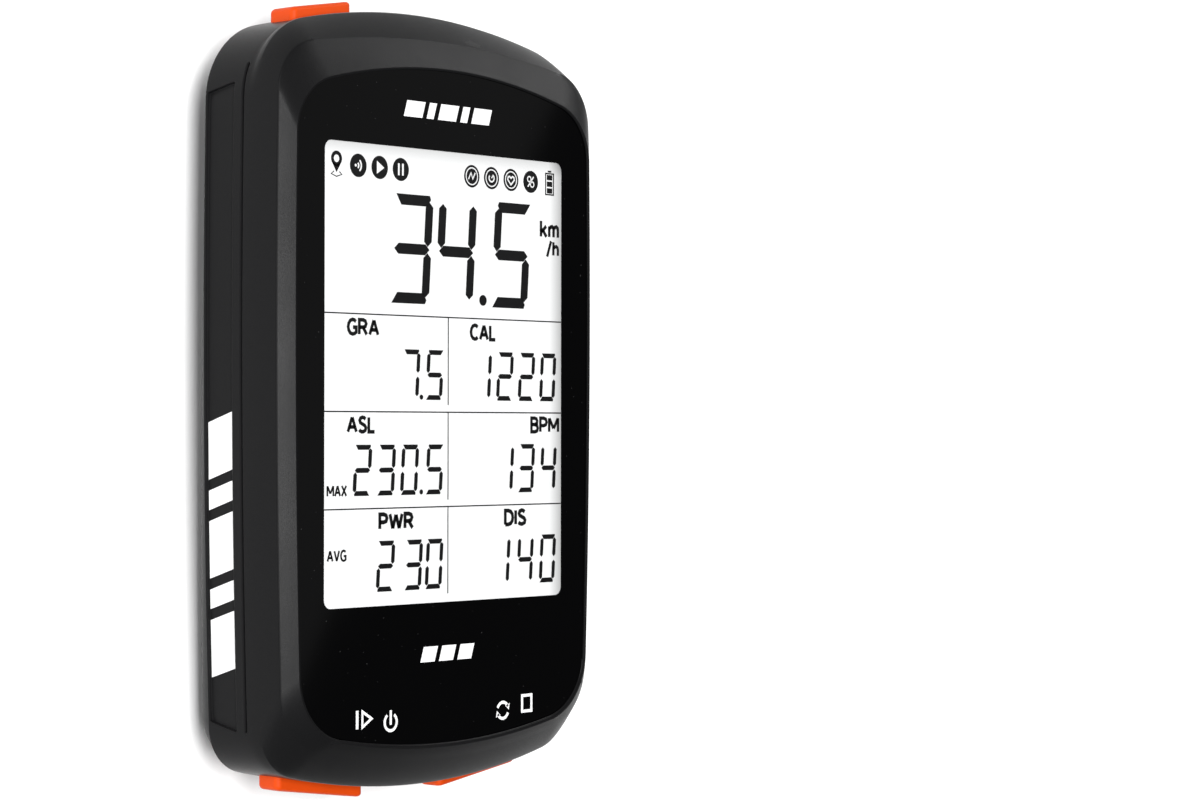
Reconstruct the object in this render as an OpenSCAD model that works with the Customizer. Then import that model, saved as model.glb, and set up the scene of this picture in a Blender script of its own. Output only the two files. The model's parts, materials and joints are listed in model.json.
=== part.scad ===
// Handlebar cycling computer: casing, bonded glass, segment display, board, cell, buttons and twist mount.
// Millimetres. It lies screen up: +Z out of the screen, +Y to the top end, +X to the right.
// The origin is the centre of the twist mount's lower face, which is what the part rests on.

/* [Casing] */
// Widest part of the casing
body_w = 51.8; // [43.2:0.2:62.4]
// Length of the casing between its two arched ends
body_l = 86.8; // [72.2:0.2:104.4]
// Depth of the casing, from its back face to the glass
body_d = 15; // [13.8:0.1:18.2]
// Thickness of the long side walls
side_wall = 1.8; // [1.4:0.1:2.2]
// Thickness of the end walls, which carry the buttons
end_wall = 2.4; // [2:0.1:2.9]
// Thickness of the rear cover's floor
floor_t = 1.8; // [1.5:0.1:2.2]
// Depth of the rear cover, from its back face to the parting line
cover_d = 3; // [2.8:0.1:3.3]
// Slope of the back face: how much deeper it lies for each millimetre towards the bottom end
back_slope = 0.024; // [0:0.002:0.028]
// How far the rear cover stands in from the front housing
cover_step = 0.4; // [0.2:0.1:1]
// Depth of the long panels let into the sides
panel_depth = 0.35; // [0.2:0.05:0.6]

/* [Outline] */
// Radius of the arched top end
top_arch_r = 75; // [62:1:90]
// Radius of the arched bottom end
bottom_arch_r = 88; // [73:1:106]
// Radius of the arched crease above the glass
crease_arch_r = 120; // [100:1:144]
// Radius of the casing's top corners
top_corner_r = 9.4; // [7.8:0.1:11.3]
// Radius of the casing's bottom corners
bottom_corner_r = 6.5; // [5.4:0.1:7.8]
// Radius of the slight barrel curve of the long sides
side_arch_r = 1200; // [1000:10:1440]

/* [Glass and display] */
// Front rim between the glass and the widest part, at the sides
bezel_side = 2.05; // [1.8:0.05:2.5]
// The same at the top end
bezel_top = 6.3; // [5.3:0.1:7.6]
// The same at the bottom end
bezel_bottom = 4.9; // [4.1:0.1:5.9]
// Thickness of the cover glass
glass_t = 1.1; // [0.9:0.1:1.3]
// Thickness of the adhesive under the glass
adhesive_t = 0.3; // [0.2:0.05:0.4]
// Height of the raised lip around the glass
lip_h = 0.25; // [0.15:0.05:0.4]
// Width of the ledge that the glass is bonded to
ledge_w = 2.2; // [1.9:0.1:2.6]
// Thickness of that ledge
ledge_t = 1.4; // [1.2:0.1:1.6]
// Height of the picture area
window_h = 50.5; // [42.2:0.1:52]
// Distance of the picture area's centre above the casing's centre
window_y = 2.5; // [1.5:0.1:3]

/* [Buttons] */
// How far each button stands out of the end wall
button_proud = 1.4; // [1.2:0.05:1.6]
// Travel of each button
button_travel = 0.6; // [0.5:0.05:0.7]
// Length of the top button
top_button_w = 9; // [7.6:0.1:10.6]
// Length of each bottom button
bottom_button_w = 13.2; // [11:0.1:13.6]
// Distance of the top button's centre left of the middle
top_button_x = 13.1; // [12:0.05:14]
// Distance of the bottom buttons' centres from the middle
bottom_button_x = 12.75; // [12.6:0.05:13.2]
// Depth of the top button, front to back
top_button_h = 4; // [3.4:0.05:4.2]
// Depth of the bottom buttons, front to back
bottom_button_h = 3.3; // [3:0.1:3.5]
// Gap around a button in its opening
button_gap = 0.12; // [0.08:0.01:0.2]

/* [Charging port] */
// Width of the rubber flap
flap_w = 10.2; // [9.4:0.1:10.6]
// Height of the rubber flap
flap_h = 3.8; // [3.7:0.1:3.9]
// Thickness of the rubber flap
flap_t = 1.1; // [0.9:0.1:1.3]

/* [Twist mount] */
// Depth of the mount below the back face
mount_h = 4.5; // [4:0.1:5.4]
// Diameter of the mount's round neck
neck_d = 23.7; // [19.8:0.1:25]
// Diameter across the mount's two wings
wing_d = 28.2; // [27:0.1:33.8]
// Thickness of the wings
wing_t = 2; // [1.7:0.1:2.4]
// Half of the angle that each wing spans
wing_half_angle = 31; // [26:1:37]

/* [Inside] */
// Thickness of the circuit board
board_t = 1; // [0.8:0.1:1.2]
// Thickness of the display panel
lcd_t = 1.5; // [1.2:0.1:1.5]
// Thickness of the light guide behind it
guide_t = 0.8; // [0.7:0.1:0.9]
// Thickness of the battery cell
cell_t = 3.7; // [3.1:0.1:3.8]
// Length of the battery cell
cell_l = 44; // [36.6:0.2:45]
// Radius of the case screws' heads
screw_head_r = 1.9; // [1.6:0.05:2.1]

/* [Hidden] */
$fn = 48;

// Heights
back_z = mount_h;
front_z = back_z + body_d;
seam_z = back_z + cover_d;
floor_z = back_z + floor_t;
ledge_z = front_z - glass_t - adhesive_t;
ledge_low_z = ledge_z - ledge_t;
board_top_z = front_z - 6.1;
board_z = board_top_z - board_t;
cavity_top_z = front_z - 5;
lcd_top_z = front_z - glass_t - 0.1;
lcd_z = lcd_top_z - lcd_t;
guide_z = lcd_z - 0.1 - guide_t;
carrier_t = 1;
carrier_z = guide_z - carrier_t;
pad_z = floor_z + 1.2;
foam_t = 0.3;
cell_z = pad_z + foam_t;

// Fits
gap = 0.1;
screw_gap = 0.05;

// Outline: half width, top and bottom of the casing, and of what sits inside it
half_w = body_w / 2;
half_l = body_l / 2;
side_mid_y = 10;
glass_w = half_w - bezel_side;
glass_top = half_l - bezel_top;
glass_bottom = -half_l + bezel_bottom;
glass_top_corner = 6.5;
glass_bottom_corner = 7.5;

// Segments along each arch, corner and side of an outline
arch_n = 5;
corner_n = 9;
side_n = 5;

function direction(v) = atan2(v.y, v.x);

function arc(centre, r, from, to, n) =
    [for (i = [0:n - 1]) let (a = from + (to - from) * i / n) centre + r * [cos(a), sin(a)]];

// Centre of the corner arc of radius r that runs smoothly from an end arch into a side arch
function corner_centre(arch, arch_r, side, side_r, r, up) =
    let (
        d = norm(side - arch),
        u = (side - arch) / d,
        along = (d * d + pow(arch_r - r, 2) - pow(side_r - r, 2)) / (2 * d),
        across = sqrt(pow(arch_r - r, 2) - along * along)
    )
    arch + along * u + up * across * [u.y, -u.x];

// The barrel outline, clockwise from its top, grown outwards by grow
function outline(w, top, bottom, top_r, bottom_r, grow = 0, arch_r = top_arch_r) =
    let (
        top_c = [0, top - arch_r],
        bottom_c = [0, bottom + bottom_arch_r],
        side_c = [w - side_arch_r, side_mid_y],
        c1 = corner_centre(top_c, arch_r, side_c, side_arch_r, top_r, 1),
        c2 = corner_centre(bottom_c, bottom_arch_r, side_c, side_arch_r, bottom_r, -1),
        a1 = direction(c1 - top_c),
        a2 = direction(c1 - side_c),
        a3 = direction(c2 - side_c),
        a4 = direction(c2 - bottom_c),
        right = [
            each arc(top_c, arch_r + grow, 90, a1, arch_n),
            each arc(c1, top_r + grow, a1, a2, corner_n),
            each arc(side_c, side_arch_r + grow, a2, a3, side_n),
            each arc(c2, bottom_r + grow, a3, a4, corner_n),
            each arc(bottom_c, bottom_arch_r + grow, a4, -90, arch_n)
        ]
    )
    [each right, [0, bottom - grow], each [for (i = [len(right) - 1:-1:1]) [-right[i].x, right[i].y]]];

function body_outline(grow = 0) = outline(half_w, half_l, -half_l, top_corner_r, bottom_corner_r, grow);

function cavity_outline(grow = 0) =
    outline(
        half_w - side_wall, half_l - end_wall, -half_l + end_wall, top_corner_r - 2, bottom_corner_r - 2, grow
    );

function glass_outline(grow = 0) =
    outline(glass_w, glass_top, glass_bottom, glass_top_corner, glass_bottom_corner, grow);

// Closed solid through rings of equal length, lowest ring first; a ring's slope tilts it along Y
module loft(rings, heights, slopes = []) {
    n = len(rings[0]);
    last = len(rings) - 1;
    tilt = [for (i = [0:last]) len(slopes) > 0 ? slopes[i] : 0];
    points = [for (i = [0:last]) each [for (p = rings[i]) [p.x, p.y, heights[i] + tilt[i] * p.y]]];
    sides = [
        for (i = [0:last - 1]) for (j = [0:n - 1])
            let (k = (j + 1) % n, low = i * n, high = low + n)
            each [[low + k, high + k, high + j], [low + k, high + j, low + j]]
    ];
    polyhedron([each points], [[for (j = [n - 1:-1:0]) j], each sides, [for (j = [0:n - 1]) last * n + j]]);
}

module slab(points, z0, z1) {
    translate([0, 0, z0]) linear_extrude(z1 - z0) polygon(points);
}

// Box from its lowest to its highest corner
module block(low, high) {
    translate(low) cube(high - low);
}

module post(x, y, z0, z1, r) {
    translate([x, y, z0]) cylinder(h = z1 - z0, r = r);
}

// Rounded bar that fills x0..x1 and z0..z1 and runs along Y
module y_bar(x0, x1, z0, z1, r, y0, y1) {
    translate([0, y1, 0]) rotate([90, 0, 0]) linear_extrude(y1 - y0) union() {
        translate([x0 + r, z0]) square([x1 - x0 - 2 * r, z1 - z0]);
        translate([x0, z0 + r]) square([x1 - x0, z1 - z0 - 2 * r]);
        for (x = [x0 + r, x1 - r]) for (z = [z0 + r, z1 - r]) translate([x, z]) circle(r = r);
    }
}

// Front housing: how far it stands in from its widest outline at the crease that ends the front bevel,
// the depth of that crease below the glass, and the depths at which its faces reach the full size
crease_depth = 1;
crease_side = 0.45;
crease_top = 3.3;
crease_bottom = 3.1;
crease_top_r = 6.1;
crease_bottom_r = 7.3;
full_depth_side = 6;
full_depth_top = 4.2;
full_depth_bottom = 4;
full_depth_corner = 5;
lip_w = 0.55;

function flare(depth, full, inset, power) =
    depth >= full ? 0 : inset * pow((full - depth) / (full - crease_depth), power);

function housing_ring(depth) =
    let (k = min(1, (depth - crease_depth) / (full_depth_corner - crease_depth)))
    outline(
        half_w - flare(depth, full_depth_side, crease_side, 1.6),
        half_l - flare(depth, full_depth_top, crease_top, 1.25),
        -half_l + flare(depth, full_depth_bottom, crease_bottom, 1.15),
        crease_top_r + (top_corner_r - crease_top_r) * k,
        crease_bottom_r + (bottom_corner_r - crease_bottom_r) * k,
        0,
        crease_arch_r + (top_arch_r - crease_arch_r) * k
    );

ring_depths = [
    front_z - seam_z, full_depth_side, full_depth_corner, full_depth_top, 3.4, 2.6, 1.8, crease_depth
];

module housing_solid() {
    loft(
        [each [for (d = ring_depths) housing_ring(d)], glass_outline(lip_w)],
        [each [for (d = ring_depths) front_z - d], front_z + lip_h]
    );
}

// Case screws in the four corners
case_screw_x = half_w - 5.8;
case_screw_y = half_l - 9.5;
boss_r = 2.6;
insert_r = 1.75;
insert_l = 4;
thread_r = 1;
boss_z = seam_z + 0.8;
case_head_h = 1.2;
screw_seat_z = back_z + 2.1;

module at_case_screws() {
    for (x = [-1, 1]) for (y = [-1, 1]) translate([x * case_screw_x, y * case_screw_y, 0]) children();
}

// Board screws: two beside the port, two at the top end
board_screw_r = 0.8;
board_head_r = 1.5;
board_posts = [
    [8.2, -half_l + 6.9],
    [-8.2, -half_l + 6.9],
    [-5.4, half_l - 7.4],
    [13.5, half_l - 8]
];
board_post_r = 1.9;

// Buttons: middle, length, lowest and highest, and which end they are on
button_z = board_z - 1.3;
button_corner_r = 0.7;
button_low = seam_z + 1.6;
top_button = [-top_button_x, top_button_w, button_low - 0.3, button_low - 0.3 + top_button_h, 1];
left_button = [-bottom_button_x, bottom_button_w, button_low, button_low + bottom_button_h, -1];
right_button = [bottom_button_x, bottom_button_w, button_low, button_low + bottom_button_h, -1];
flange_t = 0.8;
flange_lap = 0.55;
stem_r = 1.1;
switch_w = 4.6;
switch_l = 3.4;
switch_h = 2.6;
plunger_r = 0.8;
plunger_out = 1;

// Distance from the middle of the part to the outside face of a switch
function switch_face(b) = half_l - (b[4] > 0 ? 6.3 : 6.1);

// The bar that a button fills, grown by grow
module button_bar(b, grow) {
    near = b[4] > 0 ? 0 : -half_l - 5;
    y_bar(b[0] - b[1] / 2 - grow, b[0] + b[1] / 2 + grow, b[2] - grow, b[3] + grow, button_corner_r + grow,
        near, near + half_l + 5);
}

// Part of the casing's height that holds every button
module between(outer, inner, z0, z1) {
    difference() {
        slab(outer, z0, z1);
        slab(inner, z0 - 1, z1 + 1);
    }
}

module button(b) {
    seal_out = 0.35;
    difference() {
        union() {
            intersection() {
                button_bar(b, 0);
                between(body_outline(button_proud), cavity_outline(-gap - flange_t), b[2], b[3]);
            }
            intersection() {
                button_bar(b, flange_lap);
                between(cavity_outline(-gap), cavity_outline(-gap - flange_t), b[2] - 1, b[3] + 1);
            }
            stem(b);
        }
        intersection() {
            between(body_outline(-0.8), body_outline(-1.5), b[2] - 1, b[3] + 1);
            difference() {
                button_bar(b, 1);
                button_bar(b, -seal_out);
            }
        }
    }
}

// Round stem between the button's flange and the switch's plunger
module stem(b) {
    tip = switch_face(b) + plunger_out + 0.02;
    root = half_l - end_wall - 1.6;
    y_rod(b, stem_r, tip, root);
}

module y_rod(b, r, near, far) {
    translate([b[0], b[4] * near, button_z]) rotate([-90 * b[4], 0, 0]) cylinder(h = far - near, r = r);
}

module button_seal(b) {
    seal_in = 0.33;
    color("black") intersection() {
        between(body_outline(-0.82), body_outline(-1.48), b[2] - 1, b[3] + 1);
        difference() {
            button_bar(b, button_gap - 0.03);
            button_bar(b, -seal_in);
        }
    }
}

module plunger(b) {
    color("ivory") y_rod(b, plunger_r, switch_face(b) - 0.9, switch_face(b) + plunger_out);
}

// Charging port and its flap
port_w = 8.94;
port_h = 3.26;
port_l = 7.3;
port_z = board_z - port_h / 2;
flap_low = button_low - 0.1;
flap_x = flap_w / 2;
flap_front = -half_l + 0.15;
recess_gap = 0.12;
anchor_h = 0.5;
port_front = flap_front + flap_t + 0.35;

module port_bar(grow, y0, y1) {
    y_bar(-port_w / 2 - grow, port_w / 2 + grow, port_z - port_h / 2 - grow, port_z + port_h / 2 + grow,
        1.25 + grow, y0, y1);
}

// Upper cavity, behind the ledge
upper_w = half_w - 2.7;
upper_top = half_l - 4.9;
upper_bottom = -half_l + 4.1;

module front_housing() {
    seal_w = 0.9;
    color("#2b2b2d") difference() {
        union() {
            difference() {
                housing_solid();
                slab(glass_outline(gap), ledge_z, front_z + 1);
                slab(glass_outline(-ledge_w), ledge_low_z - 1, ledge_z + 1);
                slab(outline(upper_w, upper_top, upper_bottom, 8, 8), cavity_top_z - 1, ledge_low_z);
                slab(cavity_outline(), seam_z - 1, cavity_top_z);
            }
            intersection() {
                at_case_screws() post(0, 0, boss_z, ledge_low_z + 0.5, boss_r);
                slab(body_outline(-1), seam_z, ledge_low_z + 0.5);
            }
            for (p = board_posts) post(p.x, p.y, board_top_z, ledge_low_z + 0.3, board_post_r);
        }
        slab(cavity_outline(seal_w), seam_z - 1, seam_z + 0.5);
        at_case_screws() post(0, 0, boss_z - 1, boss_z + insert_l + 1, insert_r);
        for (p = board_posts) post(p.x, p.y, board_top_z - 1, board_top_z + 2.4, board_screw_r + screw_gap);
        for (b = [top_button, left_button, right_button]) button_bar(b, button_gap);
        flap_recess();
        port_bar(0.15, -half_l - 1, -half_l + end_wall + 1);
        for (side = [-1, 1]) side_panel(side);
    }
}

module flap_recess() {
    block(
        [-flap_x - recess_gap, -half_l - 1, flap_low - anchor_h],
        [flap_x + recess_gap, flap_front + flap_t + 0.05, flap_low + flap_h + recess_gap]
    );
}

// Long panel and groove let into one side
panel_top = half_l - 9.5;
panel_bottom = -half_l + 7.5;
groove_z = front_z - 6;

module side_panel(side) {
    panel_z = front_z - 7.5;
    outer = half_w + 1;
    inner = half_w - panel_depth;
    mirror([side < 0 ? 1 : 0, 0, 0]) {
        difference() {
            block([inner - 1.5, panel_bottom, seam_z + 0.35], [outer, panel_top, panel_z]);
            slab(body_outline(-panel_depth), seam_z, panel_z + 1);
        }
        difference() {
            block([inner - 1.5, panel_bottom, groove_z - 0.15], [outer, panel_top + 2, groove_z + 0.15]);
            slab(body_outline(-panel_depth), seam_z, groove_z + 1);
        }
    }
}

// Rear cover: share of its depth above the back face, and how far each ring stands in from its edge
cover_rings = [[0, 3], [0.08, 2.2], [0.23, 1.5], [0.46, 0.9], [0.75, 0.45], [1, 0.2]];

function cover_outline(inset) = body_outline(-cover_step - inset);

module cover_solid() {
    loft(
        [for (r = cover_rings) cover_outline(r[1])],
        [for (r = cover_rings) back_z + r[0] * cover_d],
        [for (r = cover_rings) back_slope * (1 - r[0])]
    );
}

pocket_r = neck_d / 2 + 1.6;
pad_r = neck_d / 2 - 1.2;
base_t = 0.8;
mount_screw_pcd = 14;
mount_screw_r = 1;
mount_head_r = 1.9;
mount_head_z = 1.3;

module at_mount_screws() {
    for (a = [45:90:315]) rotate(a) translate([mount_screw_pcd / 2, 0, 0]) children();
}

vent_y = half_l - 15;

module rear_cover() {
    color("#252527") difference() {
        union() {
            difference() {
                cover_solid();
                slab(cavity_outline(-2.4), floor_z, seam_z + 1);
            }
            tongue();
            post(0, 0, floor_z - 0.5, pad_z, pad_r);
            at_case_screws() post(0, 0, floor_z - 0.5, boss_z - 0.02, boss_r);
        }
        at_case_screws() {
            post(0, 0, back_z - 2, screw_seat_z, screw_head_r + 0.15);
            post(0, 0, back_z, boss_z + 1, thread_r + 0.12);
        }
        post(0, 0, back_z - 1, back_z + base_t + 0.3, pocket_r);
        at_mount_screws() post(0, 0, back_z, pad_z - 0.3, mount_screw_r + screw_gap);
        post(0, vent_y, back_z - 1, floor_z + 1, 0.6);
    }
}

// Locating rib inside the long sides of the front housing
module tongue() {
    reach = half_l - 17;
    intersection() {
        between(cavity_outline(-gap), cavity_outline(-1.1), floor_z, seam_z + 1.2);
        block([-half_w, -reach, floor_z], [half_w, reach, seam_z + 2]);
    }
    intersection() {
        between(cavity_outline(-gap), cavity_outline(-2.5), floor_z, seam_z - 0.3);
        block([-half_w, -reach, floor_z], [half_w, reach, seam_z]);
    }
}

module housing_seal() {
    color("black") between(cavity_outline(0.8), cavity_outline(0.05), seam_z, seam_z + 0.5);
}

module cover_glass() {
    color("#0b0b0c") slab(glass_outline(), front_z - glass_t, front_z);
}

module glass_adhesive() {
    color("dimgray")
        between(glass_outline(-0.2), glass_outline(-ledge_w + 0.2), ledge_z, front_z - glass_t);
}

// Display stack, which lies in the ledge's opening
lcd_top = window_y + window_h / 2 + 2;
lcd_bottom = window_y - window_h / 2 - 5;
lcd_side_gap = 0.2 + pow(side_mid_y - lcd_bottom, 2) / (2 * side_arch_r);
lcd_w = glass_w - ledge_w - lcd_side_gap;

module lcd_panel() {
    color("gainsboro") block([-lcd_w, lcd_bottom, lcd_z], [lcd_w, lcd_top, lcd_top_z]);
}

module light_guide() {
    color("whitesmoke")
        block([-lcd_w + 0.3, lcd_bottom + 1.6, guide_z], [lcd_w - 0.3, lcd_top, guide_z + guide_t]);
}

module backlight_leds() {
    n = 8;
    pitch = (2 * lcd_w - 8) / (n - 1);
    color("khaki") for (i = [0:n - 1])
        translate([-lcd_w + 4 + i * pitch - 0.8, lcd_bottom + 0.4, guide_z + 0.05]) cube([1.6, 1.1, 0.65]);
}

module display_carrier() {
    rim = 4;
    color("white") difference() {
        block([-lcd_w, lcd_bottom, carrier_z], [lcd_w, lcd_top, guide_z]);
        for (i = [-1, 1])
            block(
                [i < 0 ? -lcd_w + rim : rim / 2, lcd_bottom + rim, carrier_z - 1],
                [i < 0 ? -rim / 2 : lcd_w - rim, lcd_top - rim, guide_z + 1]
            );
    }
}

// Ribbon that leaves the panel's lower edge and folds back onto the board
module display_flex() {
    t = 0.2;
    out = lcd_bottom - 2.2;
    high = lcd_z + 0.5;
    low = board_top_z + 0.02;
    inner_end = lcd_bottom + 4;
    color("orange") translate([-7, 0, 0]) rotate([90, 0, 90]) linear_extrude(14)
        polygon([
            [lcd_bottom - 0.02, high], [out, high], [out, low], [inner_end, low],
            [inner_end, low + t], [out + t, low + t], [out + t, high - t], [lcd_bottom - 0.02, high - t]
        ]);
}

module main_board() {
    margin = 2.7;
    color("#1f5c3a") difference() {
        union() {
            slab(cavity_outline(-margin), board_z, board_top_z);
            block([-5.2, -half_l + 3.1, board_z], [5.2, -half_l + 9, board_top_z]);
        }
        at_case_screws() post(0, 0, board_z - 1, board_top_z + 1, boss_r + 0.3);
        for (p = board_posts) post(p.x, p.y, board_z - 1, board_top_z + 1, board_screw_r + 0.2);
    }
}

// Parts under the board hang from its lower face
module under_board(x, y, w, l, h) {
    block([x - w / 2, y - l / 2, board_z - h], [x + w / 2, y + l / 2, board_z]);
}

top_row_y = half_l - 13.5;

module processor_chip() {
    color("#18181a") under_board(3, top_row_y, 7, 6, 0.8);
}

module shield_can() {
    skin = 0.2;
    color("silver") difference() {
        under_board(4, top_row_y, 13, 8.4, 1.2);
        translate([0, 0, skin]) under_board(4, top_row_y, 13 - 2 * skin, 8.4 - 2 * skin, 1.2);
    }
}

module gnss_antenna() {
    y = (lcd_top + glass_top - ledge_w) / 2;
    color("tan") block([-1, y - 1.8, board_top_z], [11, y + 1.8, board_top_z + 3]);
}

module radio_module() {
    color("#2a3b33") under_board(-8.5, top_row_y, 6, 7, 1);
}

module pressure_sensor() {
    color("lightgray") under_board(-14.5, top_row_y - 1, 2, 2, 0.8);
}

module vent_membrane() {
    color("snow") post(0, vent_y, floor_z, floor_z + 0.3, 2.4);
}

module buzzer() {
    color("#202022") under_board(-10, -half_l + 16.5, 8.5, 8.5, 2.2);
}

cell_w = half_w - side_wall - 5.2;
cell_y = -half_l + 46;

module battery_cell() {
    color("lightsteelblue")
        block([-cell_w, cell_y - cell_l / 2, cell_z], [cell_w, cell_y + cell_l / 2, cell_z + cell_t]);
}

module battery_foam() {
    color("#3a3a3c") post(0, 0, pad_z, pad_z + foam_t, pad_r - 0.5);
}

header_y = cell_y + cell_l / 2 + 2.2;

header_x = 13.6;

module battery_header() {
    color("ivory") block([header_x - 2.5, header_y, board_z - 2.7], [header_x + 2.5, header_y + 3, board_z]);
}

module battery_leads() {
    for (i = [0, 1]) color(["red", "black"][i])
        translate([header_x - 1 + 2 * i, cell_y + cell_l / 2, board_z - 1.9]) rotate([-90, 0, 0])
            cylinder(h = header_y - cell_y - cell_l / 2, r = 0.4);
}

// Metal shell with a tongue in the middle of its mouth
module usb_receptacle() {
    shell = 0.3;
    color("silver") difference() {
        port_bar(0, port_front, port_front + port_l);
        difference() {
            port_bar(-shell, port_front - 1, port_front + port_l - 1);
            block([-3.3, port_front + 0.6, port_z - 0.35], [3.3, port_front + port_l, port_z + 0.35]);
        }
    }
}

// Flap of soft rubber that turns on the round bead along its rear edge
flap_hinge = [0, flap_front + flap_t / 2, flap_low + flap_t / 2];

module usb_flap() {
    corner = 0.4;
    tall = flap_low + flap_h - flap_hinge.z;
    color("#1c1c1e") union() {
        translate([-flap_x, flap_hinge.y, flap_hinge.z]) rotate([0, 90, 0])
            cylinder(h = flap_w, r = flap_t / 2);
        translate([0, flap_front + flap_t, flap_hinge.z]) rotate([90, 0, 0])
            linear_extrude(flap_t) union() {
                translate([-flap_x, 0]) square([flap_w, tall - corner]);
                translate([-flap_x + corner, 0]) square([flap_w - 2 * corner, tall]);
                for (x = [corner - flap_x, flap_x - corner]) translate([x, tall - corner]) circle(r = corner);
            }
        y_bar(-3.6, 3.6, port_z - 0.85, port_z + 0.75, 0.7, flap_front + 0.5, flap_front + flap_t + 0.3);
    }
}

module flap_anchor() {
    color("#1c1c1e") block(
        [-flap_x, flap_hinge.y + 0.05, flap_low - anchor_h + 0.03],
        [flap_x, flap_front + flap_t, flap_low - 0.1]
    );
}

module side_switches() {
    color("silver") for (b = [top_button, left_button, right_button]) difference() {
        near = b[4] > 0 ? switch_face(b) - switch_l : -switch_face(b);
        translate([b[0] - switch_w / 2, near, board_z - switch_h]) cube([switch_w, switch_l, switch_h]);
        y_rod(b, plunger_r + screw_gap, switch_face(b) - 0.9 - button_travel - 0.1, switch_face(b) + 1);
    }
}

// Round-headed screw that points up, with a six-sided socket in its head
module screw(head_r, head_h, shank_r, shank_l) {
    difference() {
        union() {
            cylinder(h = head_h, r = head_r);
            cylinder(h = head_h + shank_l, r = shank_r);
        }
        translate([0, 0, -1]) cylinder(h = 1 + head_h * 0.6, r = shank_r * 0.9, $fn = 6);
    }
}

module case_screws() {
    low = screw_seat_z - case_head_h;
    color("#55565a") at_case_screws() translate([0, 0, low])
        screw(screw_head_r, case_head_h, thread_r - screw_gap, boss_z + insert_l - screw_seat_z - 0.2);
}

module threaded_inserts() {
    color("goldenrod") at_case_screws() difference() {
        post(0, 0, boss_z, boss_z + insert_l, insert_r - 0.02);
        post(0, 0, boss_z - 1, boss_z + insert_l + 1, thread_r);
    }
}

module board_screws() {
    color("#8a8b90") for (p = board_posts)
        translate([p.x, p.y, board_z - 1.1]) screw(board_head_r, 1.1, board_screw_r, board_t + 2);
}

// Twist mount: round neck with a wing on each side, seated in a pocket of the rear cover
module quarter_turn_mount() {
    neck_r = neck_d / 2;
    wing_r = wing_d / 2;
    chamfer = 0.3;
    color("#1f1f21") difference() {
        union() {
            rotate_extrude() polygon([
                [0, 0], [neck_r - chamfer, 0], [neck_r, chamfer], [neck_r, back_z],
                [pocket_r - gap, back_z], [pocket_r - gap, back_z + base_t], [0, back_z + base_t]
            ]);
            for (a = [-wing_half_angle, 180 - wing_half_angle]) rotate(a)
                rotate_extrude(angle = 2 * wing_half_angle) polygon([
                    [neck_r - 1, 0], [wing_r - chamfer, 0], [wing_r, chamfer],
                    [wing_r, wing_t - chamfer], [wing_r - chamfer, wing_t], [neck_r - 1, wing_t]
                ]);
        }
        at_mount_screws() {
            post(0, 0, -1, mount_head_z + 0.8, mount_head_r + 0.1);
            post(0, 0, 0, back_z + 2, mount_screw_r + 0.1);
        }
        post(0, 0, back_z - 0.9, back_z + base_t + 1, 4);
    }
}

module mount_seal() {
    color("black") translate([0, 0, back_z + base_t]) difference() {
        cylinder(h = 0.3, r = pocket_r - 0.4);
        translate([0, 0, -1]) cylinder(h = 3, r = pocket_r - 1.8);
    }
}

module mount_screws() {
    low = mount_head_z - 0.5;
    color("#8a8b90") at_mount_screws() translate([0, 0, low])
        screw(mount_head_r, 1.3, mount_screw_r, pad_z - 0.5 - low - 1.3);
}

module orange_button(b) {
    color("#ff5714") button(b);
}

module top_left_button() {
    orange_button(top_button);
}

module top_left_button_seal() {
    button_seal(top_button);
}

module top_left_plunger() {
    plunger(top_button);
}

module bottom_left_button() {
    orange_button(left_button);
}

module bottom_left_button_seal() {
    button_seal(left_button);
}

module bottom_left_plunger() {
    plunger(left_button);
}

module bottom_right_button() {
    orange_button(right_button);
}

module bottom_right_button_seal() {
    button_seal(right_button);
}

module bottom_right_plunger() {
    plunger(right_button);
}

front_housing();
rear_cover();
housing_seal();
cover_glass();
glass_adhesive();
lcd_panel();
light_guide();
backlight_leds();
display_carrier();
display_flex();
main_board();
processor_chip();
shield_can();
gnss_antenna();
radio_module();
pressure_sensor();
vent_membrane();
buzzer();
battery_cell();
battery_foam();
battery_header();
battery_leads();
usb_receptacle();
usb_flap();
flap_anchor();
side_switches();
case_screws();
threaded_inserts();
board_screws();
quarter_turn_mount();
mount_seal();
mount_screws();
top_left_button();
top_left_button_seal();
top_left_plunger();
bottom_left_button();
bottom_left_button_seal();
bottom_left_plunger();
bottom_right_button();
bottom_right_button_seal();
bottom_right_plunger();
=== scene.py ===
"""Handlebar cycling computer: the finished look of its casing, glass, display, buttons and twist mount."""

import json
import math

import bmesh
import bpy
from mathutils import Matrix, Vector


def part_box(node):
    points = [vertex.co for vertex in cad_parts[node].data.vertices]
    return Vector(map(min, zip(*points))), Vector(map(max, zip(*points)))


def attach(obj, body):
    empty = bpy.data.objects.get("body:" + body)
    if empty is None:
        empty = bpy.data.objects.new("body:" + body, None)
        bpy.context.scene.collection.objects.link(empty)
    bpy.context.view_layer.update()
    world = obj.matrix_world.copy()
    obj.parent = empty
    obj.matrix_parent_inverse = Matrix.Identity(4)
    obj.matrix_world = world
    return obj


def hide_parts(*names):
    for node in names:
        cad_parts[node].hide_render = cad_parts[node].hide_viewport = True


bl_info = {
    "name": "Handlebar Cycling Computer",
    "version": (1, 0, 0),
    "blender": (4, 5, 0),
    "location": "3D View > Sidebar > Computer",
    "description": "Builds a cycling computer with its display, buttons, twist mount and studio",
    "category": "Add Mesh",
}

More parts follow.
